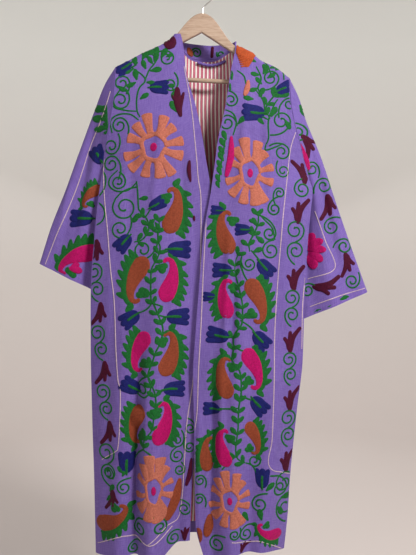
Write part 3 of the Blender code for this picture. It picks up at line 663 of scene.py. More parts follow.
LEFT_MARKS = {
    "daisy": (
        (112, -476, 63, 90), (62, -1261, 53, 74),
    ),
    "pink_leaf": (
        (67, -385, 54, -486, 0.085),
    ),
    "peach_leaf": (
        (109, -244, 99, -285, 0.17),
    ),
    "tulip": (
        (199, -262, 25, 44), (119, -326, 180, 59), (32, -567, 180, 34), (92, -613, 180, 39),
        (42, -711, 180, 48), (150, -708, -48, 53, -1), (12, -775, 180, 31), (31, -868, 172, 55),
        (139, -882, -48, 53, -1), (17, -1045, 180, 43), (134, -1039, -48, 53, -1), (141, -1211, 90, 48),
    ),
    "rust": (
        (59, -656, 39, -573, -1), (115, -749, 148, -832, -1), (55, -1003, 40, -924, -1),
        (110, -1089, 135, -1150, -1), (8, -1183, 5, -1116, -1),
    ),
    "pink": (
        (57, -812, 44, -737, -1), (106, -915, 139, -991, -1), (53, -1166, 36, -1096, -1),
        (179, -1356, 128, -1333, -1),
    ),
    "rust_leaf": (
        (14, -1300, 5, -1355, 0.22), (-12, -1333, -29, -1380, 0.3),
    ),
    "curl": (
        (242, -511, 16, 254, -482, 1), (165, -237, 16, 145, -268, 1), (210, -302, 12, 184, -338, -1),
        (190, -345, 18, 161, -381, 1), (191, -421, 15, 159, -408, -1), (194, -468, 12, 181, -442, 1),
        (184, -523, 10, 176, -555, -1), (171, -562, 12, 188, -530, 1), (66, -295, 13, 54, -271, -1),
        (57, -352, 15, 81, -361, 1), (159, -622, 13, 128, -576, -1), (162, -663, 16, 171, -638, 1),
        (109, -697, 12, 92, -677, 1), (122, -1171, 12, 101, -1148, -1), (185, -1244, 15, 159, -1207, -1),
        (134, -1274, 14, 154, -1249, 1), (101, -1345, 12, 116, -1323, 1), (73, -1341, 9, 86, -1326, -1),
        (32, -1370, 14, 53, -1348, 1), (-9, -1218, 10, 3, -1236, 1), (17, -1151, 10, 29, -1132, -1),
        (-11, -1263, 10, 3, -1284, 1),
    ),
    "border": (
        (234, -597, 226, -696, 1), (224, -765, 216, -848, 1), (216, -917, 214, -993, 1),
        (215, -1061, 208, -1145, 1), (208, -1214, 204, -1332, 1),
    ),
    "sprig": (
        (243, -467, 104, 65, -1), (235, -565, 82, 66), (223, -730, 84, 66), (214, -882, 84, 64),
        (214, -1027, 84, 62), (205, -1179, 84, 62), (96, -1373, 60, 34),
    ),
    "vine": (
        (182, -290, 172, -306, 158, -345, 158, -388, 152, -404), (159, -344, 142, -334, 132, -327),
        (150, -324, 145, -294, 128, -269), (49, -318, 71, -329, 79, -352, 71, -383),
        (152, -403, 151, -418, 174, -410, 191, -402), (131, -573, 148, -590, 166, -609, 173, -638),
        (121, -629, 106, -619, 97, -614), (114, -663, 128, -680, 138, -692),
        (78, -711, 63, -713, 53, -713), (87, -831, 111, -848, 125, -865), (72, -874, 60, -872, 51, -869),
        (87, -692, 97, -723, 109, -742), (72, -891, 86, -902, 101, -907),
        (86, -1009, 106, -1021, 121, -1026), (84, -1040, 58, -1043, 34, -1042),
        (79, -1151, 60, -1168, 43, -1188), (99, -1174, 121, -1188, 140, -1239),
        (115, -102, 100, -112, 105, -137), (81, -220, 98, -234, 103, -255),
        (129, -207, 141, -237, 133, -263, 143, -284),
        (130, -162, 160, -177, 192, -202, 212, -224, 220, -262, 227, -292),
        (145, -187, 158, -206, 166, -226), (180, -192, 195, -216, 198, -241),
        (227, -262, 236, -292, 244, -322), (54, -380, 48, -420, 41, -459, 35, -508),
    ),
    "stem": (
        (162, -341, 152, -314, 172, -283, 187, -270),
        (131, -567, 131, -597, 120, -625, 109, -647, 111, -667),
        (
            89, -667, 78, -686, 75, -713, 81, -736, 89, -772, 92, -791, 93, -813, 91, -840, 80, -857,
            72, -874, 72, -900, 69, -928, 86, -955, 89, -1000, 83, -1041, 81, -1091, 76, -1131, 79, -1158,
            98, -1174,
        ),
    ),
    "leaf": (
        (122, -292, 170, 21), (135, -286, 60, 22), (177, -285, 100, 22), (185, -285, 20, 22),
        (164, -336, 60, 24), (147, -354, 130, 21), (69, -245, 100, 21), (66, -271, 110, 19),
        (83, -356, 45, 22), (128, -595, 165, 16), (125, -629, -40, 21), (118, -668, 20, 21),
        (149, -1243, 40, 22), (187, -1270, 0, 24), (178, -1288, -60, 22), (139, -1312, 100, 22),
        (107, -1315, 120, 22), (146, -227, 60, 22), (158, -221, 120, 19), (176, -216, 30, 21),
        (143, -253, 130, 19), (150, -174, -20, 26), (170, -187, -50, 22), (192, -204, -15, 26),
        (207, -221, 20, 21), (215, -246, -60, 26), (222, -272, -50, 22), (163, -211, 20, 22),
        (156, -237, 30, 19), (138, -229, 170, 19), (133, -263, 200, 19), (129, -196, 150, 16),
        (199, -342, -60, 21), (52, -412, 118, 21), (50, -429, 124, 19), (48, -447, 116, 21),
        (45, -464, 122, 19), (43, -481, 114, 19), (40, -498, 118, 18), (38, -513, 112, 16),
        (55, -395, 110, 21),
    ),
    "line": (
        (6, -583, -1, -708, -7, -846, -13, -957, -16, -1055, -24, -1109),
        (
            226, -371, 213, -413, 204, -485, 194, -569, 188, -638, 179, -750, 172, -861, 170, -977,
            167, -1063, 164, -1123, 158, -1185, 216, -1219,
        ),
        (268, -537, 256, -678, 244, -792, 242, -906), (66, -1358, 107, -1365, 144, -1364, 199, -1406),
    ),
}
RIGHT_SLEEVE_MARKS = {
    "line": (
        (-237, -273, -262, -343, -290, -407, -318, -493, -343, -556, -377, -634, -404, -702),
        (-407, -710, -380, -724, -338, -732, -314, -743, -290, -755),
    ),
    "feather": (
        (-248, -304, -242, -380, 1),
    ),
    "leaf": (
        (-247, -319, 150, 29), (-247, -340, 160, 29), (-244, -363, 170, 27),
    ),
    "pink_leaf": (
        (-229, -324, -241, -384, 0.07), (-338, -705, -307, -715, 0.3), (-333, -705, -313, -695, 0.34),
    ),
    "tulip": (
        (-267, -423, 120, 50), (-311, -580, 180, 60),
    ),
    "rust": (
        (-266, -507, -307, -544, 1),
    ),
    "pink": (
        (-283, -665, -368, -700, 1),
    ),
}
LEFT_SLEEVE_MARKS = {
    "line": (
        (384, -783, 333, -800, 300, -813, 257, -830), (408, -756, 333, -778, 267, -803),
        (279, -562, 304, -635, 329, -705, 262, -733),
    ),
    "leaf": (
        (241, -292, -60, 26), (341, -785, 15, 21), (304, -811, 20, 21), (275, -821, 20, 21),
    ),
    "curl": (
        (242, -363, 16, 227, -341, -1), (272, -455, 14, 288, -478, 1), (302, -497, 15, 276, -519, -1),
        (321, -601, 15, 345, -578, 1), (353, -650, 15, 325, -655, -1), (374, -738, 14, 390, -715, -1),
        (262, -761, 13, 287, -755, 1),
    ),
    "sprig": (
        (264, -393, -60, 60), (313, -551, -88, 66), (361, -695, -80, 61), (308, -750, 4, 70, -1),
    ),
    "pink_leaf": (
        (234, -384, 264, -459, 0.1), (263, -649, 277, -617, 0.34), (263, -654, 299, -635, 0.28),
        (261, -659, 306, -660, 0.24), (263, -667, 298, -688, 0.28), (263, -672, 279, -708, 0.34),
    ),
}
BACK_MARKS = {
    "daisy": (
        (2, -318, 44, 48),
    ),
    "rust": (
        (-4, -456, 8, -386, 1),
    ),
    "pink": (
        (-12, -1180, -12, -1110, 1),
    ),
    "curl": (
        (-46, -1230, 12, -30, -1205, 1), (2, -1250, 10, -8, -1215, -1), (-40, -1290, 10, -30, -1265, -1),
    ),
    "leaf": (
        (-20, -1205, 200, 14), (-4, -1205, -20, 14), (-12, -1215, 270, 16),
    ),
    "stem": (
        (-12, -500, -6, -600, -16, -700, -6, -800, -16, -900, -8, -1000, -12, -1070),
    ),
    "tulip": (
        (2, -232, 90, 44), (-12, -484, 90, 40),
    ),
    "line": (
        (-76, -1325, -50, -1352, 0, -1368, 67, -1366),
    ),
}
COLLAR_MARKS = {
    "bar": (
        (22, -134, 20, -166), (58, -136, 76, -150),
    ),
    "curl": (
        (-20, -152, 10, -34, -160, -1), (42, -158, 7, 34, -150, 1),
    ),
    "rust_leaf": (
        (-42, -140, -34, -166, 0.3),
    ),
}


def smooth(t):
    """Step from 0 to 1 with level ends."""
    t = np.clip(t, 0.0, 1.0)
    return t * t * (3.0 - 2.0 * t)


def read(rows, column, at):
    """A column of a table at any place: cubic between its rows, and never past their values."""
    places = rows[next(iter(rows))]
    values = rows[column]
    steps = np.diff(values) / np.diff(places)
    product = steps[1:] * steps[:-1]
    total = np.where(product > 0.0, steps[1:] + steps[:-1], 1.0)
    inner = np.where(product > 0.0, 2.0 * product / total, 0.0)
    slopes = np.concatenate([steps[:1], inner, steps[-1:]])
    at = np.clip(at, places[0], places[-1])
    low = np.clip(np.searchsorted(places, at) - 1, 0, len(places) - 2)
    span = places[low + 1] - places[low]
    t = (at - places[low]) / span
    start = (2 * t**3 - 3 * t**2 + 1) * values[low] + (t**3 - 2 * t**2 + t) * span * slopes[low]
    end = (3 * t**2 - 2 * t**3) * values[low + 1] + (t**3 - t**2) * span * slopes[low + 1]
    return start + end


def lean(x, z):
    """Turn a point of the upright hanger with the hanger, about the hook's inside top."""
    return x * math.cos(LEAN) + z * math.sin(LEAN), z * math.cos(LEAN) - x * math.sin(LEAN)


def arm_top(x):
    """Height of the upright hanger's upper edge: two sloping arms with a hump between them."""
    slope = ARM_SLOPE * (np.sqrt(x**2 + ARM_BEND**2) - ARM_BEND)
    return ARM_RISE - slope + HUMP * np.exp(-((np.abs(x) / HUMP_WIDTH) ** 3))


def leaning_arm_top(x):
    """Height of the leaning hanger's upper edge above world place x."""
    upright = x
    for _ in range(SEARCH_STEPS):
        upright = (x - arm_top(upright) * math.sin(LEAN)) / math.cos(LEAN)
    return lean(upright, arm_top(upright))[1]


def shoulder(x):
    """Height of the cloth's middle over the hanger's arm, with the two places where it stands off it."""
    puff = np.zeros_like(x)
    for place, width, rise in zip(*PUFFS.values()):
        puff += rise * np.exp(-(((x - place) / width) ** 2))
    return leaning_arm_top(x) + ON_ARM + WALL / 2 + puff


def over_arm(drop):
    """How far the cloth has turned over the arm, 0 on its top and 1 where it hangs."""
    t = np.clip(drop / WRAP, 0.0, 1.0)
    return np.sqrt(1.0 - (1.0 - t) ** 2)


def folds(rows, x, height):
    """How far the folds stand out at a place: each a round ridge that grows on its way down."""
    out = np.zeros_like(x)
    for top, top_x, hem_x, width, reach in zip(*rows.values()):
        down = np.clip((top - height) / (top - HEM_MIDDLE), 0.0, 1.0)
        line = top_x + (hem_x - top_x) * down
        grown = smooth((top - height) / FOLD_GROWS)
        out += reach * grown * np.exp(-(((x - line) / width) ** 2))
    return out


def top_edge(edge, side, across, highest):
    """Places and heights of a front's top edge, found by moving along the arm until both agree."""
    x = edge["x"][-1] + (side["x"][-1] - edge["x"][-1]) * across
    for _ in range(SEARCH_STEPS):
        height = np.minimum(shoulder(x), highest)
        start = read(edge, "x", height)
        x = start + (read(side, "x", height) - start) * across
    return x, height


def neck_share(x):
    """1 at the middle of the back neck, falling round to 0 at the neck's two corners."""
    return np.sqrt(np.clip(1.0 - ((x - NECK_MIDDLE) / NECK_HALF) ** 2, 0.0, 1.0))


def back_top(x):
    """Height of the back's top edge: over the arms, and dipping between them at the neck."""
    share = neck_share(x)
    return shoulder(x) + (NECK_DIP - shoulder(x)) * smooth((share - NECK_CORNER) / (1.0 - NECK_CORNER))


def crease(rows, x, z):
    """How far the creases stand out: each runs straight from one point to another with a section like a
    bell curve, exp(-(distance / width)^2), that fades out over CREASE_FADES of its length at both ends."""
    out = np.zeros_like(x + z)
    for start_x, start_z, end_x, end_z, width, reach in zip(*rows.values()):
        run_x, run_z = end_x - start_x, end_z - start_z
        run = math.hypot(run_x, run_z)
        along = ((x - start_x) * run_x + (z - start_z) * run_z) / run**2
        away = ((x - start_x) * run_z - (z - start_z) * run_x) / run
        ends = smooth(along / CREASE_FADES) * smooth((1.0 - along) / CREASE_FADES)
        out += reach * ends * np.exp(-((away / width) ** 2))
    return out


class Panel:
    """A hanging panel of cloth, whose middle is a depth over the place across and the height."""

    way = -1.0
    thick = WALL

    def held(self, x, z, height):
        """Places kept on the panel: what runs past its border stops there, sunk in the cloth."""
        start, end = self.sides(z)
        across = np.clip((x - start) / (end - start), BORDER, 1.0 - BORDER)
        low, high = self.levels(across)
        place, level = start + (end - start) * across, np.clip(z, low, high)
        gone = np.abs(place - x) + np.abs(level - z) > MOVED
        return place, level, np.where(gone, -2 * SUNK, height)

    def depth(self, x, z):
        """Y of the cloth's middle at a place and a height."""
        start, end = self.sides(z)
        return self.place(np.clip((x - start) / (end - start), 0.0, 1.0), z)[..., 1]

    def raised(self, x, z, height, face=None):
        """Points that stand a height above the cloth's outer face, square to it. A panel has one such
        face, so only a sleeve reads which."""
        slope_x = (self.depth(x + TOUCH, z) - self.depth(x - TOUCH, z)) / (2 * TOUCH)
        slope_z = (self.depth(x, z + TOUCH) - self.depth(x, z - TOUCH)) / (2 * TOUCH)
        out = np.stack([-self.way * slope_x, np.full_like(x, self.way), -self.way * slope_z], axis=-1)
        middle = np.stack([x, self.depth(x, z), z], axis=-1)
        return middle + unit(out) * (self.thick / 2 + height)[..., None]


class Front(Panel):
    """One front, from its edge (across 0) to its side seam (across 1)."""

    def __init__(self, edge, side, fold_rows, creases, hem, stands):
        self.edge, self.side, self.hem = edge, side, hem
        self.folds, self.creases = fold_rows, creases
        self.share = np.linspace(0.0, 1.0, FINE_COLUMNS)
        self.top_x, self.top = top_edge(edge, side, self.share, STAND_TOP if stands else 0.0)
        self.top_y = np.full(FINE_COLUMNS, -SEAM_GAP / 2)
        if stands:
            beside_neck = smooth((NECK_STANDS - np.abs(self.top_x)) / NECK_TURNS)
            self.top_y += (STAND_FORWARD - self.top_y) * beside_neck

    def place(self, across, height):
        """The middle of the cloth: edge and side seam joined by a flattened curve, with the folds on it."""
        drop = np.clip(np.interp(across, self.share, self.top) - height, 0.0, None)
        start = read(self.edge, "x", height)
        x = start + (read(self.side, "x", height) - start) * across
        edge_y = read(self.edge, "y", height)
        side_y = read(self.side, "y", height) - read(self.side, "half", height)
        panel_y = edge_y + (-read(DEPTH, "front", drop) - edge_y) * smooth(across / FRONT_ROUNDS)
        fading = smooth(across / FOLD_FADES) * smooth((1.0 - across) / FOLD_FADES)
        small = smooth(across / SMALL_FADES) * smooth((1.0 - across) / SMALL_FADES)
        panel_y = panel_y - folds(self.folds, x, height) * fading - crease(self.creases, x, height) * small
        hanging = side_y + (panel_y - side_y) * (1.0 - across ** read(DEPTH, "power", drop))
        top_y = np.interp(across, self.share, self.top_y)
        return np.stack([x, top_y + (hanging - top_y) * over_arm(drop), height], axis=-1)

    def sides(self, z):
        """The places of the front's edge and of its side seam at a height."""
        return read(self.edge, "x", z), read(self.side, "x", z)

    def levels(self, across):
        """The lowest and the highest place for stitches at a share of the way across."""
        top = np.interp(across, self.share, self.top)
        return read(self.hem, "height", across) + TOP_BORDER, top - TOP_BORDER

    def grid(self):
        """The middle points of the whole panel, closest over the hanger's arm."""
        across = np.linspace(0.0, 1.0, FRONT_GRID)
        top = np.interp(across, self.share, self.top)
        drop = fine_drops(top - read(self.hem, "height", across))
        return self.place(np.broadcast_to(across, drop.shape), top - drop)


class Back(Panel):
    """The back, from the side seam at -X (across 0) to the one at +X (across 1)."""

    way = 1.0

    def __init__(self):
        self.left, self.right = SIDE_LEFT["x"][-1], SIDE_RIGHT["x"][-1]

    def place(self, across, height):
        """The middle of the cloth: both side seams joined by a flattened curve, hollow at the neck."""
        top_x = self.left + (self.right - self.left) * across
        drop = np.clip(back_top(top_x) - height, 0.0, None)
        left = read(SIDE_LEFT, "x", height)
        x = left + (read(SIDE_RIGHT, "x", height) - left) * across
        left_y = read(SIDE_LEFT, "y", height) + read(SIDE_LEFT, "half", height)
        right_y = read(SIDE_RIGHT, "y", height) + read(SIDE_RIGHT, "half", height)
        side_y = left_y + (right_y - left_y) * smooth(across)
        off_middle = np.abs(2.0 * across - 1.0)
        fading = smooth((1.0 - off_middle) / BACK_FOLD_FADES)
        panel_y = read(DEPTH, "back", drop)
        panel_y = panel_y + (folds(FOLDS_BACK, x, height) + crease(CREASES_BACK, x, height)) * fading
        hanging = side_y + (panel_y - side_y) * (1.0 - off_middle ** read(DEPTH, "power", drop))
        hanging = SEAM_GAP / 2 + (hanging - SEAM_GAP / 2) * over_arm(drop)
        neck = NECK_BACK * neck_share(top_x) * np.exp(-((drop / NECK_FALL) ** 2))
        return np.stack([x, np.sqrt(hanging**2 + neck**2), height], axis=-1)

    def sides(self, z):
        """The places of both side seams at a height."""
        return read(SIDE_LEFT, "x", z), read(SIDE_RIGHT, "x", z)

    def levels(self, across):
        """The lowest and the highest place for stitches at a share of the way across."""
        top = back_top(self.left + (self.right - self.left) * across)
        return read(HEM_BACK, "height", across) + TOP_BORDER, top - TOP_BORDER

    def columns(self):
        """Places across the top, closest at the neck's two corners."""
        neck = NECK_MIDDLE + NECK_HALF * np.sin(np.linspace(-0.5, 0.5, NECK_GRID) * math.pi)
        left = np.linspace(self.left, NECK_LEFT, ARM_GRID)[:-1]
        right = np.linspace(NECK_RIGHT, self.right, ARM_GRID)[1:]
        return np.concatenate([left, neck, right])

    def grid(self):
        """The middle points of the whole back."""
        top_x = self.columns()
        across = (top_x - self.left) / (self.right - self.left)
        top = back_top(top_x)
        drop = fine_drops(top - read(HEM_BACK, "height", across))
        return self.place(np.broadcast_to(across, drop.shape), top - drop)


class Collar(Panel):
    """The collar's stand round the back neck: its foot on the neck seam, its top level."""

    thick = COLLAR

    def __init__(self, seam):
        self.seam = seam

    def line(self, x):
        """The foot's height and place in depth, and the top's height, round the neck."""
        share = neck_share(x)
        foot = np.interp(x, self.seam[:, 0], self.seam[:, 2]) + FOOT_CLEAR + CORNER_CLEAR * (1.0 - share) ** 2
        top = np.maximum(COLLAR_TOP - COLLAR_FALL * (x - NECK_MIDDLE), foot + COLLAR_LEAST)
        return foot, np.interp(x, self.seam[:, 0], self.seam[:, 1]), top

    def place(self, x, up):
        """The middle of the stand: it leans back and opens a little as it rises, with a slight wave."""
        foot, foot_y, top = self.line(x)
        wave = COLLAR_WAVE * np.sin(x * COLLAR_WAVES)
        y = foot_y + (COLLAR_LEAN * neck_share(x) + wave) * up
        wide = NECK_MIDDLE + (x - NECK_MIDDLE) * (1.0 + COLLAR_OPENS * up)
        return np.stack([wide, y, foot + (top - foot) * up], axis=-1)

    def sides(self, z):
        """The two ends of the stand."""
        return np.full_like(z, NECK_MIDDLE - COLLAR_HALF), np.full_like(z, NECK_MIDDLE + COLLAR_HALF)

    def levels(self, across):
        """The lowest and the highest place for stitches at a share of the way across."""
        foot, _, top = self.line(NECK_MIDDLE + COLLAR_HALF * (2.0 * across - 1.0))
        return foot + TOP_BORDER, np.maximum(top - TOP_BORDER, foot + TOP_BORDER)

    def depth(self, x, z):
        """Y of the stand's middle at a place and a height."""
        foot, _, top = self.line(x)
        return self.place(x, np.clip((z - foot) / (top - foot), 0.0, 1.0))[..., 1]

    def grid(self):
        """The middle points of the whole stand."""
        x = NECK_MIDDLE + COLLAR_HALF * np.sin(np.linspace(-1.0, 1.0, COLLAR_GRID) * math.pi / 2)
        up = np.linspace(1.0, 0.0, COLLAR_RISE_GRID)[:, None]
        return self.place(np.broadcast_to(x, (COLLAR_RISE_GRID, COLLAR_GRID)), up)


class Sleeve:
    """A sleeve: flat ovals between its outer and inner edges, whose first ring is the armhole seam."""

    way = -1.0

    def __init__(self, rows, front, back, back_side, side, creases):
        self.rows, self.front, self.back, self.creases = rows, front, back, creases
        self.back_side, self.side = back_side, side

    def seam(self, down, face):
        """The armhole seam: the front's side edge where face is -1, and the back's where it is +1."""
        front_z = self.front.top[-1] - UNDERARM * down
        back_top_z = back_top(np.array([self.back.left if self.back_side == 0.0 else self.back.right]))[0]
        back_z = back_top_z - UNDERARM * down
        ahead = self.front.place(np.ones_like(down), front_z)
        behind = self.back.place(np.full_like(down, self.back_side), back_z)
        made = np.where((face < 0.0)[..., None], ahead, behind)
        made[..., 0] += self.side * (SEAM_GAP + SLEEVE_CLEAR)
        return made

    def oval(self, along, down, face):
        """A point on the flat oval at a place along the sleeve, before it meets the armhole."""
        bow = np.sqrt(np.clip(1.0 - (2.0 * down - 1.0) ** 2, 0.0, 1.0)) ** OVAL_POWER
        made = []
        for axis in ("x", "z"):
            outer = read(self.rows, "outer_" + axis, along)
            made.append(outer + (read(self.rows, "inner_" + axis, along) - outer) * down)
        bend = np.zeros_like(down + along)
        for place, width, out in zip(*SLEEVE_FOLDS.values()):
            bend += out * np.exp(-(((down - place) / width) ** 2))
        bend *= smooth(down / SLEEVE_FOLD_FADES) * smooth((1.0 - down) / SLEEVE_FOLD_FADES)
        bend *= smooth(along / SLEEVE_FOLD_START)
        flat = smooth(down / SMALL_FADES) * smooth((1.0 - down) / SMALL_FADES)
        bend = bend + crease(self.creases, made[0], made[1]) * flat
        y = read(self.rows, "middle", along) + face * (read(self.rows, "half", along) * bow + bend)
        return np.stack([made[0], y, made[1]], axis=-1)

    def place(self, along, down, face):
        """The middle of the cloth: the oval, moved to the armhole seam over the sleeve's cap."""
        off = self.seam(down, face) - self.oval(np.zeros_like(along), down, face)
        return self.oval(along, down, face) + off * (1.0 - smooth(along / CAP_LENGTH))[..., None]

    def find(self, x, z):
        """Along and down of a flat place, by halving the sleeve's length until its line is met."""
        low, high = np.zeros_like(x), np.ones_like(x)
        for _ in range(HALVINGS):
            middle = (low + high) / 2
            beyond = self.beyond(middle, x, z)
            low = np.where(beyond, middle, low)
            high = np.where(beyond, high, middle)
        run_x, run_z, off_x, off_z = self.line(low, x, z)
        down = (off_x * run_x + off_z * run_z) / (run_x**2 + run_z**2)
        return low, np.clip(down, 0.0, 1.0)

    def line(self, along, x, z):
        """The line from the outer to the inner edge at a place along, and the point seen from it."""
        outer_x, outer_z = read(self.rows, "outer_x", along), read(self.rows, "outer_z", along)
        inner_x, inner_z = read(self.rows, "inner_x", along), read(self.rows, "inner_z", along)
        return inner_x - outer_x, inner_z - outer_z, x - outer_x, z - outer_z

    def beyond(self, along, x, z):
        """Whether a point lies further down the sleeve than a place along it."""
        run_x, run_z, off_x, off_z = self.line(along, x, z)
        return (run_x * off_z - run_z * off_x) * self.side > 0.0

    def held(self, x, z, height):
        """The places, with what runs past the sleeve's border sunk in the cloth."""
        along, down = self.find(x, z)
        from_rim = np.minimum(np.minimum(along, 1.0 - along), np.minimum(down, 1.0 - down))
        return x, z, np.where(from_rim > SLEEVE_BORDER, height, -2 * SUNK)

    def raised(self, x, z, height, face=None):
        """Points that stand a height above the cloth's outer face, square to it."""
        face = -np.ones_like(x) if face is None else np.full_like(x, face)
        along, down = self.find(x, z)
        down = np.clip(down, 2 * SHARE_TOUCH, 1.0 - 2 * SHARE_TOUCH)
        along = np.clip(along, SHARE_TOUCH, 1.0 - SHARE_TOUCH)
        lengthways = self.place(along + SHARE_TOUCH, down, face) - self.place(along - SHARE_TOUCH, down, face)
        crossways = self.place(along, down + SHARE_TOUCH, face) - self.place(along, down - SHARE_TOUCH, face)
        out = np.cross(lengthways, crossways)
        out *= (np.sign(out[..., 1]) * face)[..., None]
        return self.place(along, down, face) + unit(out) * (WALL / 2 + height)[..., None]

    def grid(self):
        """Rings from the armhole to the cuff, with the points of a ring closest at its two folds."""
        turn = np.arange(AROUND_GRID) / AROUND_GRID * 2.0 * math.pi
        along = np.linspace(0.0, 1.0, SLEEVE_GRID) ** RING_SPACING
        down = (1.0 - np.cos(turn)) / 2.0
        face = np.where(turn < math.pi, -1.0, 1.0)
        along, down = np.meshgrid(along, down, indexing="ij")
        return self.place(along, down, np.broadcast_to(face, down.shape))


def fine_drops(length):
    """Distances below a panel's top edge: a quarter turn over the arm, then even steps to the hem."""
    over = WRAP * (1.0 - np.cos(np.linspace(0.0, math.pi / 2, OVER_GRID)))
    below = np.linspace(0.0, 1.0, DOWN_GRID)[1:, None]
    upper = np.repeat(over[:, None], len(length), axis=1)
    return np.vstack([upper, WRAP + (length - WRAP) * below])


def unit(vectors):
    """Vectors made one long."""
    return vectors / np.linalg.norm(vectors, axis=-1, keepdims=True)


def grid_normals(points, closed):
    """Unit normals of a grid of points, from the cross product of its two gradients."""
    if closed:
        wide = np.concatenate([points[:, -1:], points, points[:, :1]], axis=1)
        along = np.gradient(wide, axis=1)[:, 1:-1]
    else:
        along = np.gradient(points, axis=1)
    return unit(np.cross(np.gradient(points, axis=0), along))


def lengths(points, axis, start):
    """Distance run along one axis of a grid of points, counted from a row or column."""
    steps = np.linalg.norm(np.diff(points, axis=axis), axis=-1)
    run = np.insert(np.cumsum(steps, axis=axis), 0, 0.0, axis=axis)
    return run - np.take(run, [start], axis=axis)


def new_object(name, vertices, faces, corners, materials, slots=None, angle=SHELL_ANGLE):
    """An object with its place in its mesh, smooth but for edges sharper than the angle, and a UV map
    in metres given per face corner."""
    mesh = bpy.data.meshes.new(name)
    mesh.from_pydata(vertices.tolist(), [], faces)
    for made in materials:
        mesh.materials.append(made)
    if slots is not None:
        mesh.polygons.foreach_set("material_index", slots.astype(np.int32))
    layer = mesh.uv_layers.new(name="metres")
    layer.data.foreach_set("uv", corners.astype(np.float32).ravel())
    mesh.update()
    mesh.shade_smooth()
    mesh.set_sharp_from_angle(angle=math.radians(angle))
    made = bpy.data.objects.new(name, mesh)
    bpy.context.scene.collection.objects.link(made)
    return made


def shell(name, points, outward, thick, outer_cloth, inner_cloth, closed=False):
    """A wall of cloth: the grid moved out and in by half its thickness, joined round its rims.

    Its UV map is the length run across the cloth from its middle column, and down it from its top.
    """
    if np.sum(grid_normals(points, closed) * outward) < 0.0:
        points, outward = points[:, ::-1], outward[:, ::-1]
    rows, columns = points.shape[:2]
    count = rows * columns
    joined = np.concatenate([points, points[:, :1]], axis=1) if closed else points
    u = lengths(joined, 1, joined.shape[1] // 2)
    v = np.median(lengths(joined, 0, 0), axis=1, keepdims=True) + 0.0 * u
    places = np.stack([u, -v], axis=-1)
    turns = columns if closed else columns - 1
    row, column = np.meshgrid(np.arange(rows - 1), np.arange(turns), indexing="ij")
    row, column = row.ravel(), column.ravel()
    a, b = row * columns + column, row * columns + (column + 1) % columns
    c, d = b + columns, a + columns
    faces = [np.stack([a, d, c, b], -1), np.stack([a, b, c, d], -1) + count]
    uv = [places[row, column], places[row + 1, column], places[row + 1, column + 1], places[row, column + 1]]
    corners = [np.stack(uv, 1), np.stack([uv[0], uv[3], uv[2], uv[1]], 1)]

    def rim(line, following, first, second):
        """One row of faces from the outer to the inner wall."""
        faces.append(np.stack([line, following, following + count, line + count], -1))
        corners.append(np.stack([first, second, second, first], 1))

    across, after = np.arange(turns), (np.arange(turns) + 1) % columns
    last = (rows - 1) * columns
    rim(across, after, places[0, across], places[0, across + 1])
    rim(last + after, last + across, places[-1, across + 1], places[-1, across])
    if not closed:
        level = np.arange(rows - 1)
        down = level * columns
        rim(down + columns, down, places[level + 1, 0], places[level, 0])
        rim(down + columns - 1, down + 2 * columns - 1, places[level, -1], places[level + 1, -1])
    walls = len(row)
    slots = np.repeat([0, 1, 0], [walls, walls, sum(map(len, faces)) - 2 * walls])
    vertices = np.concatenate([points + outward * thick / 2, points - outward * thick / 2]).reshape(-1, 3)
    faces, corners = np.concatenate(faces).tolist(), np.concatenate(corners).reshape(-1, 2)
    return new_object(name, vertices, faces, corners, [outer_cloth, inner_cloth], slots)


class Value:
    """A socket in a material on which Python's operators add Math nodes."""

    def __init__(self, tree, socket):
        self.tree, self.socket = tree, socket

    def maths(self, operation, *others):
        """One Math node on this value and the others."""
        return node(self.tree, "Math", {"operation": operation}, [self, *others])

    def __add__(self, other):
        return self.maths("ADD", other)

    __radd__ = __add__

    def __sub__(self, other):
        return self.maths("SUBTRACT", other)

    def __rsub__(self, other):
        return node(self.tree, "Math", {"operation": "SUBTRACT"}, [other, self])

    def __mul__(self, other):
        return self.maths("MULTIPLY", other)

    __rmul__ = __mul__

    def __truediv__(self, other):
        return self.maths("DIVIDE", other)


def node(tree, kind, settings=None, inputs=(), out=0):
    """A node of a type, with its settings made first and then its sockets, by order or by name."""
    made = tree.nodes.new("ShaderNode" + kind)
    for name, value in (settings or {}).items():
        if name == "stops":
            ramp = made.color_ramp
            while len(ramp.elements) < len(value):
                ramp.elements.new(1.0)
            for element, (place, colour) in zip(ramp.elements, value):
                element.position = place
                element.color = (*colour, 1.0)
        else:
            setattr(made, name, value)
    pairs = inputs.items() if isinstance(inputs, dict) else enumerate(inputs)
    for name, value in pairs:
        if isinstance(value, Value):
            tree.links.new(value.socket, made.inputs[name])
        elif value is not None:
            made.inputs[name].default_value = value
    return Value(tree, made.outputs[out])


def mix(tree, share, first, second):
    """Two colours mixed by a share."""
    settings = {"data_type": "RGBA", "blend_type": "MIX"}
    return node(tree, "Mix", settings, {0: share, 6: first, 7: second}, out=2)


def ramp(tree, value, *stops):
    """A value turned into a colour by stops of place and colour."""
    return node(tree, "ValToRGB", {"stops": stops}, [value])


def new_material(name):
    """An empty Principled material, its tree and its shader."""
    made = bpy.data.materials.new(name)
    made.use_nodes = True
    return made, made.node_tree, made.node_tree.nodes["Principled BSDF"]


def connect(tree, shader, **inputs):
    """Links or sets the shader's sockets, named with _ for a space."""
    for name, value in inputs.items():
        socket = shader.inputs[name.replace("_", " ")]
        if isinstance(value, Value):
            tree.links.new(value.socket, socket)
        else:
            socket.default_value = value


def shade(colour, share):
    """A colour made lighter or darker."""
    return tuple(min(1.0, part * share) for part in colour)


def metres(tree, scale=(1.0, 1.0, 1.0)):
    """The piece's UV map in metres, scaled."""
    return node(tree, "Mapping", None, {"Vector": node(tree, "UVMap", {"uv_map": "metres"}), "Scale": scale})


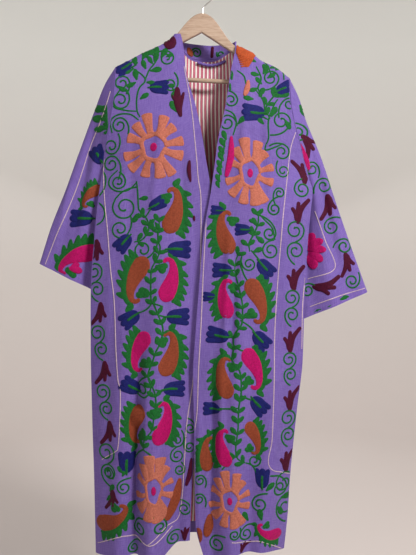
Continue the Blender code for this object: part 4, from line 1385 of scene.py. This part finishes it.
def body(tree, scale=None):
    """The place in Object coordinates, scaled along its axes if that is asked."""
    place = node(tree, "TexCoord", None, (), out=3)
    return node(tree, "Mapping", None, {"Vector": place, "Scale": scale}) if scale else place


def noise(tree, place, scale=1.0, detail=2.0, rough=0.5):
    """A noise value at a place."""
    inputs = {"Vector": place, "Scale": scale, "Detail": detail, "Roughness": rough}
    return node(tree, "TexNoise", None, inputs)


def bump(tree, height, strength, distance, under=None):
    """A height turned into a bent normal, on top of another one if there is one under it."""
    inputs = {"Strength": strength, "Distance": distance, "Height": height, "Normal": under}
    return node(tree, "Bump", None, inputs)


def weave(tree, pitch):
    """A plain weave as a height: threads at right angles, each a squared sine wave, and weighted by a
    product of two slower sines, so that each passes over and under the other by turns."""
    across, down = (
        node(tree, "SeparateXYZ", None, [metres(tree)], out=axis) * (2 * math.pi / pitch) for axis in (0, 1)
    )
    warp, weft = across.maths("SINE"), down.maths("SINE")
    over = (across * 0.5).maths("SINE") * (down * 0.5).maths("SINE")
    return (warp * warp) * (over * 0.5 + 0.5) + (weft * weft) * (0.5 - over * 0.5)


def cotton(name, colour):
    """Plain woven cotton: uneven dye, slubs along the threads, soft pressed wrinkles and a fine weave."""
    made, tree, shader = new_material(name)
    slub_down, slub_across = (noise(tree, metres(tree, scale)) for scale in (SLUBS_DOWN, SLUBS_ACROSS))
    mottle = (slub_down + slub_across) * 0.5
    dye = noise(tree, body(tree), scale=5.0, detail=3.0)
    tint = ramp(tree, dye, (0.32, shade(colour, 0.90)), (0.68, shade(colour, 1.08)))
    tint = mix(tree, 0.16, tint, ramp(tree, mottle, (0.40, SLUB_DARK), (0.62, SLUB_PALE)))
    wrinkle = noise(tree, body(tree, WRINKLES_UPRIGHT), scale=26.0, detail=4.0, rough=0.55)
    pressed = bump(tree, wrinkle, strength=0.20, distance=0.006)
    woven = bump(tree, weave(tree, COTTON_PITCH), strength=0.35, distance=0.0002, under=pressed)
    connect(tree, shader, Base_Color=tint, Roughness=0.86 - 0.10 * mottle, Normal=woven)
    connect(tree, shader, Sheen_Weight=0.08, Sheen_Roughness=0.45, Specular_IOR_Level=0.15)
    return made


def striped(name):
    """Lining woven in stripes: off-white, a thin dark line, rose, and a thin dark line, 10 mm in all."""
    made, tree, shader = new_material(name)
    across = node(tree, "SeparateXYZ", None, [metres(tree, (1.0 / STRIPE, 1.0, 1.0))])
    stripes = ramp(tree, across.maths("FRACT"), *LINING_STOPS)
    slub = noise(tree, metres(tree, LINING_SLUBS))
    tint = mix(tree, 0.12, stripes, ramp(tree, slub, (0.35, LINING_SHADE), (0.65, LINING_PALE)))
    woven = bump(tree, weave(tree, LINING_PITCH), strength=0.3, distance=0.0002)
    connect(tree, shader, Base_Color=tint, Roughness=0.72 + 0.12 * slub, Normal=woven)
    connect(tree, shader, Sheen_Weight=0.15, Specular_IOR_Level=0.3)
    return made


def wood(name):
    """Lacquered beech: pale brown, with long grain lines and short dark flecks under a clear coat."""
    made, tree, shader = new_material(name)
    grain = noise(tree, body(tree, GRAIN_ALONG), scale=1.6, detail=6.0, rough=0.6)
    fleck = noise(tree, body(tree, FLECKS_ALONG))
    tint = mix(tree, 0.35, ramp(tree, grain, *GRAIN_STOPS), ramp(tree, fleck, *FLECK_STOPS))
    relief = bump(tree, grain, strength=0.15, distance=0.0003)
    connect(tree, shader, Base_Color=tint, Roughness=0.34 + 0.16 * fleck, Normal=relief)
    connect(tree, shader, Coat_Weight=0.65, Coat_Roughness=0.12)
    return made


def steel(name):
    """Bright drawn wire, with fine scratches along it and a little dulling."""
    made, tree, shader = new_material(name)
    scratch = noise(tree, body(tree, SCRATCHES), detail=3.0)
    dull = noise(tree, body(tree), scale=60.0, detail=3.0)
    tint = ramp(tree, dull, (0.35, STEEL_DULL), (0.65, STEEL_BRIGHT))
    relief = bump(tree, scratch, strength=0.2, distance=0.0001)
    connect(tree, shader, Base_Color=tint, Roughness=0.22 + 0.20 * dull, Normal=relief)
    connect(tree, shader, Metallic=1.0)
    return made


def curve(points, step):
    """A smooth line through points: a cubic between each two, whose slopes follow their neighbours."""
    points = np.array(points, float)
    padded = np.vstack([2 * points[0] - points[1], points, 2 * points[-1] - points[-2]])
    made = []
    for before, start, end, after in zip(padded, padded[1:], padded[2:], padded[3:]):
        count = max(3, int(np.linalg.norm(end - start) / step) + 1)
        t = np.linspace(0.0, 1.0, count, endpoint=False)[:, None]
        second = 2 * before - 5 * start + 4 * end - after
        third = 3 * start - before - 3 * end + after
        made.append(start + 0.5 * ((end - before) * t + (second * t**2 + third * t**3)))
    return np.vstack([*made, points[-1:]])


def placed(local, x, z, turn, size, hand=1):
    """Points of a motif, whose own first axis is turned from +X, scaled and moved; hand -1 mirrors it."""
    cos, sin = math.cos(math.radians(turn)), math.sin(math.radians(turn))
    u, w = (np.array(local, float) * (size, size * hand)).T
    return np.stack([x + u * cos - w * sin, z + u * sin + w * cos], -1)


def between(x, z, far_x, far_z, hand=1):
    """Place, turn, size and hand of a motif that runs from one point to another."""
    run_x, run_z = far_x - x, far_z - z
    return x, z, math.degrees(math.atan2(run_z, run_x)), math.hypot(run_x, run_z), hand


def band(thread, path, widths, rise=STITCH_RISE, lift=0.0, step=STITCH_STEP, blunt=1.0):
    """A band of satin stitches along a line: half its width is read from even steps of its length and
    rounds off at both ends over that width times blunt. Its section is a dome,
    rise * sqrt(1 - side^2), sunk at its edges."""
    path = curve(path, step)
    run = lengths(path[None], 1, 0)[0]
    widths = np.array(widths, float)
    turn = 1.0 - np.cos(np.linspace(0.0, math.pi / 2, END_POINTS))
    near, far = np.minimum(np.maximum(blunt * widths[[0, -1]], END_WIDTH), run[-1] / 2)
    inside = run[(run > near) & (run < run[-1] - far)]
    at = np.unique(np.concatenate([near * turn, inside, run[-1] - far * turn]))
    x, z = np.interp(at, run, path[:, 0]), np.interp(at, run, path[:, 1])
    half = np.interp(at / run[-1], np.linspace(0.0, 1.0, len(widths)), widths)
    for end in (np.clip(at / near, 0.0, 1.0), np.clip((run[-1] - at) / far, 0.0, 1.0)):
        half = half * np.sqrt(1.0 - (1.0 - end) ** 2)
    half = np.maximum(half, END_WIDTH)
    tangent = unit(np.stack([np.gradient(x), np.gradient(z)], -1))
    widest = half.max()
    side = (NARROW if widest < WIDE_FROM else WIDE if widest < WIDEST_FROM else WIDEST)[None]
    dome = np.sqrt(1.0 - side**2) * np.sqrt(half / widest)[:, None]
    across = side * half[:, None]
    return (
        thread,
        x[:, None] - tangent[:, 1:] * across,
        z[:, None] + tangent[:, :1] * across,
        np.where(np.abs(side) > RIM, -SUNK, lift + rise * dome),
        np.stack([across, np.repeat(at[:, None], side.shape[1], axis=1)], -1),
    )


def drawn(thread, line, widths, spot, rise=STITCH_RISE, lift=0.0):
    """A band on a motif's own line, with half its widths given as shares of the motif's size."""
    return band(thread, placed(line, *spot), np.array(widths) * spot[3], rise, lift)


def vine(*points, half=VINE, thread="green"):
    """A stem along a smooth line, a little thinner at both ends."""
    widths = (half * VINE_ENDS, half, half, half * VINE_ENDS)
    return [band(thread, np.array(points).reshape(-1, 2), widths, VINE_RISE)]


def leaf(x, z, turn, size, wide=LEAF_WIDE):
    """A leaf that is narrow where it starts and widest near its round end."""
    spot = (x, z, turn, size * LEAF_GROWS)
    return [drawn("green", LEAF_LINE, np.array(LEAF_WIDTHS) * wide, spot, STITCH_RISE, LEAF_LIFT)]


def stem(*points):
    """A stem with a pair of leaves every LEAF_EVERY of its length, which spread less and more by turns."""
    line = curve(np.array(points).reshape(-1, 2), STEM_STEP)
    run = lengths(line[None], 1, 0)[0]
    made = vine(*points)
    for number, at in enumerate(np.arange(LEAF_FIRST * LEAF_EVERY, run[-1], LEAF_EVERY)):
        here = int(np.searchsorted(run, at))
        way = line[min(here + 1, len(line) - 1)] - line[here - 1]
        turn = math.degrees(math.atan2(way[1], way[0]))
        for side, size in STEM_LEAVES:
            spread = side * LEAF_SPREADS[number % 2] + 180 * (way[1] < 0)
            made += leaf(*line[here], turn + spread, size)
    return made


def blade(x, z, far_x, far_z, wide, thread):
    """One broad leaf of a colour between two points, a little bent; wide is half its width as a share."""
    spot = between(x, z, far_x, far_z)
    return [drawn(thread, BLADE_LINE, np.array(BLADE_WIDTHS) * wide, spot, BLADE_RISE, BLADE_LIFT)]


def feather(x, z, far_x, far_z, hand):
    """A green feather: a rib with broad teeth on its outer side that lean back to its near end."""
    spot = between(x, z, far_x, far_z, hand)
    made = [drawn("green", RIB_LINE, RIB_WIDTHS, spot)]
    for place in np.linspace(0.08, 0.95, 7):
        made.append(drawn("green", [(place, -0.03), (place - 0.06, -0.16)], BARB_WIDTHS, spot))
    return made


def curl(x, z, radius, from_x, from_z, hand):
    """A tendril: its distance from the centre shrinks by a power while it sweeps up to its circle, then
    ever faster for about one turn and a half, and it ends in a dot."""
    radius *= CURL_GROWS
    reach = max(math.hypot(from_x - x, from_z - z), radius * 1.02)
    start = math.atan2(from_z - z, from_x - x)
    sweep = math.acos(radius / reach) + CURL_MEETS
    t = np.linspace(0.0, 1.0, 7)[:-1]
    arrive = radius * (reach / radius) ** ((1.0 - t) ** CURL_ARRIVES)
    inner = np.linspace(0.0, 1.0, 15)
    distance = np.concatenate([arrive, radius * (1.0 - CURL_SHUTS * inner**CURL_WINDS)])
    angle = start + hand * np.concatenate([sweep * t, sweep + 2 * math.pi * CURL_TURNS * inner])
    path = np.stack([x + distance * np.cos(angle), z + distance * np.sin(angle)], -1)
    widths = np.full(CURL_STEPS, VINE * CURL_THIN)
    widths[-1] = VINE * CURL_DOT
    return [band("green", path, widths, VINE_RISE)]


def tulip(x, z, turn, size, hand=1):
    """A bell flower: a cup of three petals that flare at its mouth, with a green stripe up its middle."""
    spot = (x, z, turn, size, hand)
    made = []
    for order, (line, widths) in enumerate(BELL_PETALS):
        made.append(drawn("navy", line, widths, spot, BELL_RISE, BELL_LAYER * order))
    return [*made, drawn("green", BELL_STRIPE, BELL_STRIPE_WIDTHS, spot, STRIPE_RISE, STRIPE_LIFT)]


def sprig(x, z, turn, size, hand=1):
    """A three-fingered sprig: one long finger that bends away and two short ones beside it."""
    made = []
    for order, (line, widths) in enumerate(SPRIG_FINGERS):
        made.append(drawn("maroon", line, widths, (x, z, turn, size, hand), SPRIG_RISE, SPRIG_LAYER * order))
    return made


def paisley(x, z, tip_x, tip_z, hand, thread):
    """A comma from its round head to its hooked tip, edged in green on its outer side, with pointed
    teeth that lean towards its head, and a small three-part leaf inside the hook."""
    spot = between(x, z, tip_x, tip_z, hand)
    made = [drawn(thread, COMMA_LINE, COMMA_WIDTHS, spot, COMMA_RISE, COMMA_LIFT)]
    line = curve(COMMA_LINE, COMMA_STEP)
    run = lengths(line[None], 1, 0)[0]
    share = run / run[-1]
    way = unit(np.gradient(line, axis=0))
    out = np.stack([way[:, 1], -way[:, 0]], -1)
    half = np.interp(share, np.linspace(0.0, 1.0, len(COMMA_WIDTHS)), COMMA_WIDTHS)
    outer = line + out * (half + EDGE_OUT)[:, None]
    edge = outer[(share > 0.06) & (share < 0.90)]
    made.append(drawn("green", edge[::2], EDGE_WIDTHS, spot))
    for place in np.linspace(0.12, 0.86, TEETH):
        index = int(np.searchsorted(share, place))
        length = 0.27 - 0.12 * abs(place - 0.45)
        far = outer[index] + (out[index] - TOOTH_LEANS * way[index]) * length
        tooth = [outer[index] - out[index] * TOOTH_ROOT, far]
        made.append(drawn("green", tooth, TOOTH_WIDTHS, spot, STITCH_RISE, LEAF_LIFT))
    inside = placed([HOOK_INSIDE], *spot)[0]
    for turn, length in HOOK_LEAVES:
        made += leaf(*inside, spot[2] + hand * turn, length * spot[3], HOOK_LEAF_WIDE)
    return made


def daisy(x, z, wide, high):
    """A round flower: blunt petals that widen outwards like wedges from an uneven ring, round a bare
    middle with a pink dot. Each petal's reach, turn and breadth change by a sine of its number."""
    made = []
    for number in range(PETALS):
        aside, bend, broad = (share * math.sin(rate * number) for share, rate in PETAL_CHANGES)
        angle = 2 * math.pi * (number + aside) / PETALS + 0.2
        reach = 1.0 - 0.06 * (1.0 + math.sin(1.7 * number))
        way = np.array([math.cos(angle) * wide, math.sin(angle) * high])
        far = np.array([math.cos(angle + bend) * wide, math.sin(angle + bend) * high])
        path = np.array([x, z]) + np.stack([0.36 * way, 0.62 * way, reach * far])
        widths = np.array(PETAL_WIDTHS) * ((1.0 + broad) * math.hypot(*way))
        made.append(band("peach", path, widths, PETAL_RISE, 0.0001 * (number % 3), blunt=PETAL_BLUNT))
    turn = np.linspace(0.0, 2 * math.pi, 22)
    uneven = 1.0 + 0.06 * np.sin(5.0 * turn + 1.0) + 0.05 * np.sin(3.0 * turn)
    ring = np.stack([x + 0.37 * wide * uneven * np.cos(turn), z + 0.37 * high * uneven * np.sin(turn)], -1)
    made.append(band("peach", ring, [0.072 * wide] * 2, PETAL_RISE, 0.0002))
    dot = [(x - 0.11 * wide, z), (x, z), (x + 0.11 * wide, z)]
    return [*made, band("pink", dot, [0.13 * high] * 3, DOT_RISE, LEAF_LIFT)]


def border(top_x, top_z, low_x, low_z, hand):
    """Two tendrils that join one sprig of a border to the next, in shares of the distance between."""
    spot = between(top_x, top_z, low_x, low_z, hand)
    upper, join, lower, end = placed(BORDER_PLACES, *spot)
    made = curl(*upper, UPPER_CURL * spot[3], *join, hand)
    return made + curl(*lower, LOWER_CURL * spot[3], *end, -hand)


def marks(motifs):
    """The bands of a table of motifs by kind, in which lengths are in millimetres and turns in degrees."""
    made = []
    for kind, rows in motifs.items():
        plain, make = KINDS[kind]
        for row in rows:
            made += make(*[value * (1 if place in plain else MM) for place, value in enumerate(row)])
    return made


# For each kind, the places in its rows that aren't lengths, and the function that draws it
KINDS = {
    "vine": ((), vine),
    "stem": ((), stem),
    "line": ((), lambda *points: vine(*points, half=PIPING, thread="cream")),
    "leaf": ((2,), leaf),
    "curl": ((5,), curl),
    "tulip": ((2, 4), tulip),
    "sprig": ((2, 4), sprig),
    "rust": ((4,), lambda *row: paisley(*row, "rust")),
    "pink": ((4,), lambda *row: paisley(*row, "pink")),
    "peach_leaf": ((4,), lambda *row: blade(*row, "peach")),
    "rust_leaf": ((4,), lambda *row: blade(*row, "rust")),
    "pink_leaf": ((4,), lambda *row: blade(*row, "pink")),
    "maroon_leaf": ((4,), lambda *row: blade(*row, "maroon")),
    "bar": ((), lambda *row: [band("maroon", [row[:2], row[2:]], BAR_WIDTHS, BAR_RISE)]),
    "feather": ((4,), feather),
    "daisy": ((), daisy),
    "border": ((4,), border),
}
SEWN = {}


def sew(place, cloth, bands, face=None):
    """Lay bands on a face of a cloth and gather them by thread and place; what runs past the cloth's
    border sinks in it."""
    x, z, height = (np.concatenate([part[column].ravel() for part in bands]) for column in (1, 2, 3))
    points = cloth.raised(*cloth.held(x, z, height), face)
    way = 1 if (cloth.way if face is None else face) < 0 else -1
    first = 0
    for thread, across, _, _, uv in bands:
        laid = points[first : first + across.size]
        part = (laid, uv.reshape(-1, 2), *across.shape, way)
        SEWN.setdefault(f"{thread}_stitches_{place}", []).append(part)
        first += across.size


def thread_mesh(name, parts, cloth):
    """One mesh of all the bands of a thread: rings joined along each band, and a face at both ends."""
    vertices, faces, corners, first = [], [], [], 0
    for points, uv, rows, columns, way in parts:
        ring = np.arange(rows)[:, None] * columns
        here, there = np.arange(columns), (np.arange(columns) + 1) % columns
        quads = [ring[:-1] + here, ring[1:] + here, ring[1:] + there, ring[:-1] + there]
        quads = np.stack(quads, axis=-1).reshape(-1, 4)
        ends = [here, (rows - 1) * columns + here[::-1]]
        if way < 0:
            quads, ends = quads[:, ::-1], [end[::-1] for end in ends]
        vertices.append(points)
        faces += (quads + first).tolist() + [(end + first).tolist() for end in ends]
        corners += [uv[quads.ravel()], *[uv[end] for end in ends]]
        first += rows * columns
    vertices, corners = np.concatenate(vertices), np.concatenate(corners)
    made = new_object(name, vertices, faces, corners, [cloth], angle=THREAD_ANGLE)
    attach(made, "root")
    return made


def thread_cotton(name, colour):
    """Cotton thread laid close: fine lines along each band, uneven loops across them, and patches of a
    lighter and a darker dye."""
    made, tree, shader = new_material(name)
    lines = noise(tree, metres(tree, THREAD_LINES))
    loops = noise(tree, body(tree), scale=900.0, rough=0.6)
    dye = noise(tree, body(tree), scale=260.0)
    tint = ramp(tree, dye, (0.35, shade(colour, 0.78)), (0.65, shade(colour, 1.25)))
    tint = mix(tree, 0.30, tint, ramp(tree, loops, (0.38, shade(colour, 0.55)), (0.60, shade(colour, 1.35))))
    laid = bump(tree, lines * 0.5 + loops * 0.5, strength=0.55, distance=0.0003)
    connect(tree, shader, Base_Color=tint, Roughness=0.80 - 0.15 * lines, Normal=laid)
    connect(tree, shader, Sheen_Weight=0.02, Sheen_Roughness=0.5, Specular_IOR_Level=0.12)
    return made


def facing(vectors, way):
    """The vectors, turned over together if they don't face this way along Y."""
    return vectors * way * np.sign(np.sum(vectors[..., 1]))


def front_shell(name, front, cad_node, stands):
    """A front's wall, whose top rim lies level over the arm, in place of its plain solid."""
    points = front.grid()
    outward = facing(grid_normals(points, False), -1.0)
    on_arm = np.ones(points.shape[1])
    if stands:
        on_arm = 1.0 - smooth((NECK_STANDS - np.abs(points[0, :, 0])) / NECK_TURNS)
    outward[0, :, 1] *= 1.0 - on_arm
    outward[0] = unit(outward[0])
    made = shell(name, points, outward, WALL, PURPLE, STRIPED)
    finish_cloth(made, cad_node)


def back_shell():
    """The back's wall, hollow at the neck."""
    points = BACK.grid()
    outward = facing(grid_normals(points, False), 1.0)
    on_arm = smooth(1.0 - neck_share(BACK.columns()) / NECK_ON_ARM)
    outward[0, :, 1] *= 1.0 - on_arm
    outward[0, :, 2] *= on_arm
    outward[0] = unit(outward[0])
    made = shell("back_panel", points, outward, WALL, PURPLE, PURPLE)
    finish_cloth(made, "back")
    return points, outward


def lining_shell(back_middle, back_outward):
    """The striped lining inside the back, in by its own clearance, from the neck seam to above the hem."""
    inset = WALL / 2 + 2 * SEAM_GAP + LINING / 2
    made = (back_middle - back_outward * inset)[LINING_FROM:, LINING_EDGE:-LINING_EDGE]
    rows_off = int((LINING_RISE / (made[-2, :, 2] - made[-1, :, 2])).max())
    made = made[:-rows_off]
    outward = back_outward[LINING_FROM : LINING_FROM + len(made), LINING_EDGE:-LINING_EDGE]
    piece = shell("lining_panel", made, outward, LINING, STRIPED, STRIPED)
    finish_cloth(piece, "lining_back")
    return made


def collar_shell(collar):
    """The collar's stand, its top rim level and its foot upright."""
    points = collar.grid()
    outward = facing(grid_normals(points, False), 1.0)
    outward[-1, :, 2] = 0.0
    outward[-1] = unit(outward[-1])
    made = shell("collar_stand", points, outward, COLLAR, PURPLE, PURPLE)
    finish_cloth(made, "collar")


def sleeve_shell(name, sleeve, cad_node):
    """A sleeve's wall from its armhole to its cuff."""
    points = sleeve.grid()
    outward = grid_normals(points, True)
    outward *= np.sign(np.sum(outward * (points - points.mean(axis=1, keepdims=True))))
    made = shell(name, points, outward, WALL, PURPLE, STRIPED, closed=True)
    finish_cloth(made, cad_node)


def finish_cloth(piece, cad_node):
    """Hides the plain solid that a piece of cloth stands for, and hangs the piece on the root body."""
    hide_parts(cad_node)
    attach(piece, "root")


def lining_depth(lining, x, z):
    """Y of the lining's middle at one place and height: read down each of its columns, then across."""
    down = [np.interp(-z, -column[:, 2], column[:, 1]) for column in lining.swapaxes(0, 1)]
    return np.interp(x, lining[0, :, 0], down)


def loop_roll(lining):
    """The hanging loop: a rolled strip, round in section with a slow uneven twist, that sags between its
    ends by a parabola and lies just clear of the lining."""
    turn = np.linspace(-1.0, 1.0, LOOP_GRID)
    x = LOOP_MIDDLE + LOOP_REACH * turn
    z = LOOP_HEIGHT - LOOP_SAG * (1.0 - turn**2)
    behind = np.array([lining_depth(lining, *place) for place in zip(x, z)])
    middle = np.stack([x, behind - LINING / 2 - LOOP_RADIUS - LOOP_CLEAR, z], axis=-1)
    angle = np.linspace(0.0, 2 * math.pi, LOOP_AROUND, endpoint=False)
    radius = LOOP_RADIUS + LOOP_UNEVEN * np.sin(LOOP_TWIST * turn[:, None] / 2 + 2 * angle)
    way = unit(np.gradient(middle, axis=0))
    across = unit(np.cross(way, np.array([0.0, 1.0, 0.0])))
    third = np.cross(across, way)
    around = np.cos(angle)[None, :, None] * across[:, None] + np.sin(angle)[None, :, None] * third[:, None]
    points = middle[:, None] + radius[..., None] * around
    run = lengths(middle[None], 1, 0)[0]
    uv = np.stack(np.broadcast_arrays(angle * LOOP_RADIUS, run[:, None]), -1)
    part = (points.reshape(-1, 3), uv.reshape(-1, 2), LOOP_GRID, LOOP_AROUND, 1)
    made = thread_mesh("hanging_loop_roll", [part], PURPLE)
    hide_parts("hanging_loop")


RIGHT_FRONT = Front(EDGE_RIGHT_FRONT, SIDE_LEFT, FOLDS_RIGHT_FRONT, CREASES_RIGHT, HEM_RIGHT_FRONT, True)
LEFT_FRONT = Front(EDGE_LEFT_FRONT, SIDE_RIGHT, FOLDS_LEFT_FRONT, CREASES_LEFT, HEM_LEFT_FRONT, False)
BACK = Back()
RIGHT_SLEEVE = Sleeve(SLEEVE_RIGHT, RIGHT_FRONT, BACK, 0.0, -1, CREASES_RIGHT_SLEEVE)
LEFT_SLEEVE = Sleeve(SLEEVE_LEFT, LEFT_FRONT, BACK, 1.0, 1, CREASES_LEFT_SLEEVE)

PURPLE = cotton("purple_cotton_cloth", PURPLE_COLOUR)
STRIPED = striped("striped_lining_cloth")

front_shell("front_right_panel", RIGHT_FRONT, "front_right", True)
front_shell("front_left_panel", LEFT_FRONT, "front_left", False)
back_points, back_outward = back_shell()
lining_points = lining_shell(back_points, back_outward)
NECK = Collar(back_points[0])
collar_shell(NECK)
sleeve_shell("sleeve_right_panel", RIGHT_SLEEVE, "sleeve_right")
sleeve_shell("sleeve_left_panel", LEFT_SLEEVE, "sleeve_left")

BEECH = wood("lacquered_beech")
for name, finish in (("hanger_wood", BEECH), ("hanger_bar", BEECH), ("hanger_hook", steel("drawn_steel"))):
    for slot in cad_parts[name].material_slots:
        slot.material = finish
loop_roll(lining_points)


def patch():
    """The coarse orange patch beside the neck: rows of thick cord between three lines across it."""
    made = []
    for share in np.linspace(0.0, 1.0, PATCH_ROWS):
        ends = np.array([np.interp(share, PATCH_SHARES, column) for column in np.array(PATCH).T])
        start, end = ends[:2], ends[2:]
        t = np.linspace(0.0, 1.0, 7)[:, None]
        path = start + (end - start) * t + PATCH_WAVE * np.sin(9.0 * t + 4.0 * share)
        made.append(band("orange", path, PATCH_CORD, PATCH_RISE, PATCH_LIFT, PATCH_STEP))
    return made


def off_middle(motifs, middle, half):
    """The rows of a table of motifs that start further than a distance from a line down the cloth."""
    return {kind: [row for row in rows if abs(row[0] - middle) > half] for kind, rows in motifs.items()}


sew("fronts", RIGHT_FRONT, marks(RIGHT_MARKS))
sew("fronts", LEFT_FRONT, marks(LEFT_MARKS) + patch())
for motifs in (off_middle(RIGHT_MARKS, *BACK_STRIP), off_middle(LEFT_MARKS, *BACK_STRIP), BACK_MARKS):
    sew("back", BACK, marks(motifs))
sew("back", NECK, marks(COLLAR_MARKS))
for face in (-1.0, 1.0):
    sew("sleeves", RIGHT_SLEEVE, marks(RIGHT_SLEEVE_MARKS), face)
    sew("sleeves", LEFT_SLEEVE, marks(LEFT_SLEEVE_MARKS), face)
DYED = {name: thread_cotton(name + "_thread", colour) for name, colour in THREADS.items()}
for name, parts in SEWN.items():
    thread_mesh(name, parts, DYED[name.split("_")[0]])


def area_light(name, place, aim, size, power, colour):
    """A soft square light at a place, turned to a point."""
    lamp = bpy.data.lights.new(name, "AREA")
    lamp.shape = "SQUARE"
    lamp.size = size
    lamp.energy = power
    lamp.color = colour
    seat = bpy.data.objects.new(name, lamp)
    seat.location = place
    way = np.array(aim) - np.array(place)
    flat = math.hypot(way[0], way[1])
    seat.rotation_euler = (math.pi / 2 + math.atan2(way[2], flat), 0.0, math.atan2(-way[0], way[1]))
    bpy.context.scene.collection.objects.link(seat)


def backdrop():
    """A pale floor that curves up into a wall all round: a profile turned about the upright axis. Its colour
    carries painted shade, darker towards the bottom.
    """
    bend = np.linspace(0.0, math.pi / 2, BEND_ROWS)[1:]
    out, up = FLOOR_RADIUS + FLOOR_BEND * np.sin(bend), FLOOR + FLOOR_BEND * (1.0 - np.cos(bend))
    radius = np.concatenate([[FLOOR_RADIUS * 0.5, FLOOR_RADIUS], out, [FLOOR_RADIUS + FLOOR_BEND]])
    height = np.concatenate([[FLOOR, FLOOR], up, [WALL_TOP]])
    turn = np.linspace(0.0, 2.0 * math.pi, WALL_SIDES, endpoint=False)
    ring = [radius[:, None] * np.cos(turn), radius[:, None] * np.sin(turn), height[:, None] + 0.0 * turn]
    vertices = [(0.0, 0.0, FLOOR), *np.stack(ring, axis=-1).reshape(-1, 3).tolist()]
    here, there = 1 + np.arange(WALL_SIDES), 1 + (np.arange(WALL_SIDES) + 1) % WALL_SIDES
    floor = np.stack([0 * here, here, there], -1)
    first = WALL_SIDES * np.arange(len(radius) - 1)[:, None]
    sides = np.stack([first + here, first + here + WALL_SIDES, first + there + WALL_SIDES, first + there], -1)
    mesh = bpy.data.meshes.new("backdrop")
    mesh.from_pydata(vertices, [], floor.tolist() + sides.reshape(-1, 4).tolist())
    mesh.shade_smooth()
    made, tree, shader = new_material("pale_plaster_painted_shade")
    level = node(tree, "SeparateXYZ", None, [body(tree)], out=2)
    # Painted shade: the colour darkens from WALL_HIGH down to WALL_LOW and the floor
    tint = ramp(tree, (level - WALL_LOW) / (WALL_HIGH - WALL_LOW), (0.0, WALL_PAINTED_SHADE), (1.0, WALL_PALE))
    grain = noise(tree, body(tree), scale=90.0, detail=3.0)
    relief = bump(tree, grain, strength=0.05, distance=0.001)
    connect(tree, shader, Base_Color=tint, Roughness=0.9 - 0.05 * grain, Normal=relief)
    mesh.materials.append(made)
    stage = bpy.data.objects.new("backdrop", mesh)
    bpy.context.scene.collection.objects.link(stage)


backdrop()
for name, light in LIGHTS.items():
    area_light(name, *light)
world = bpy.data.worlds.new("room")
bpy.context.scene.world = world
world.use_nodes = True
world.node_tree.nodes["Background"].inputs["Color"].default_value = ROOM_COLOUR
world.node_tree.nodes["Background"].inputs["Strength"].default_value = ROOM_STRENGTH
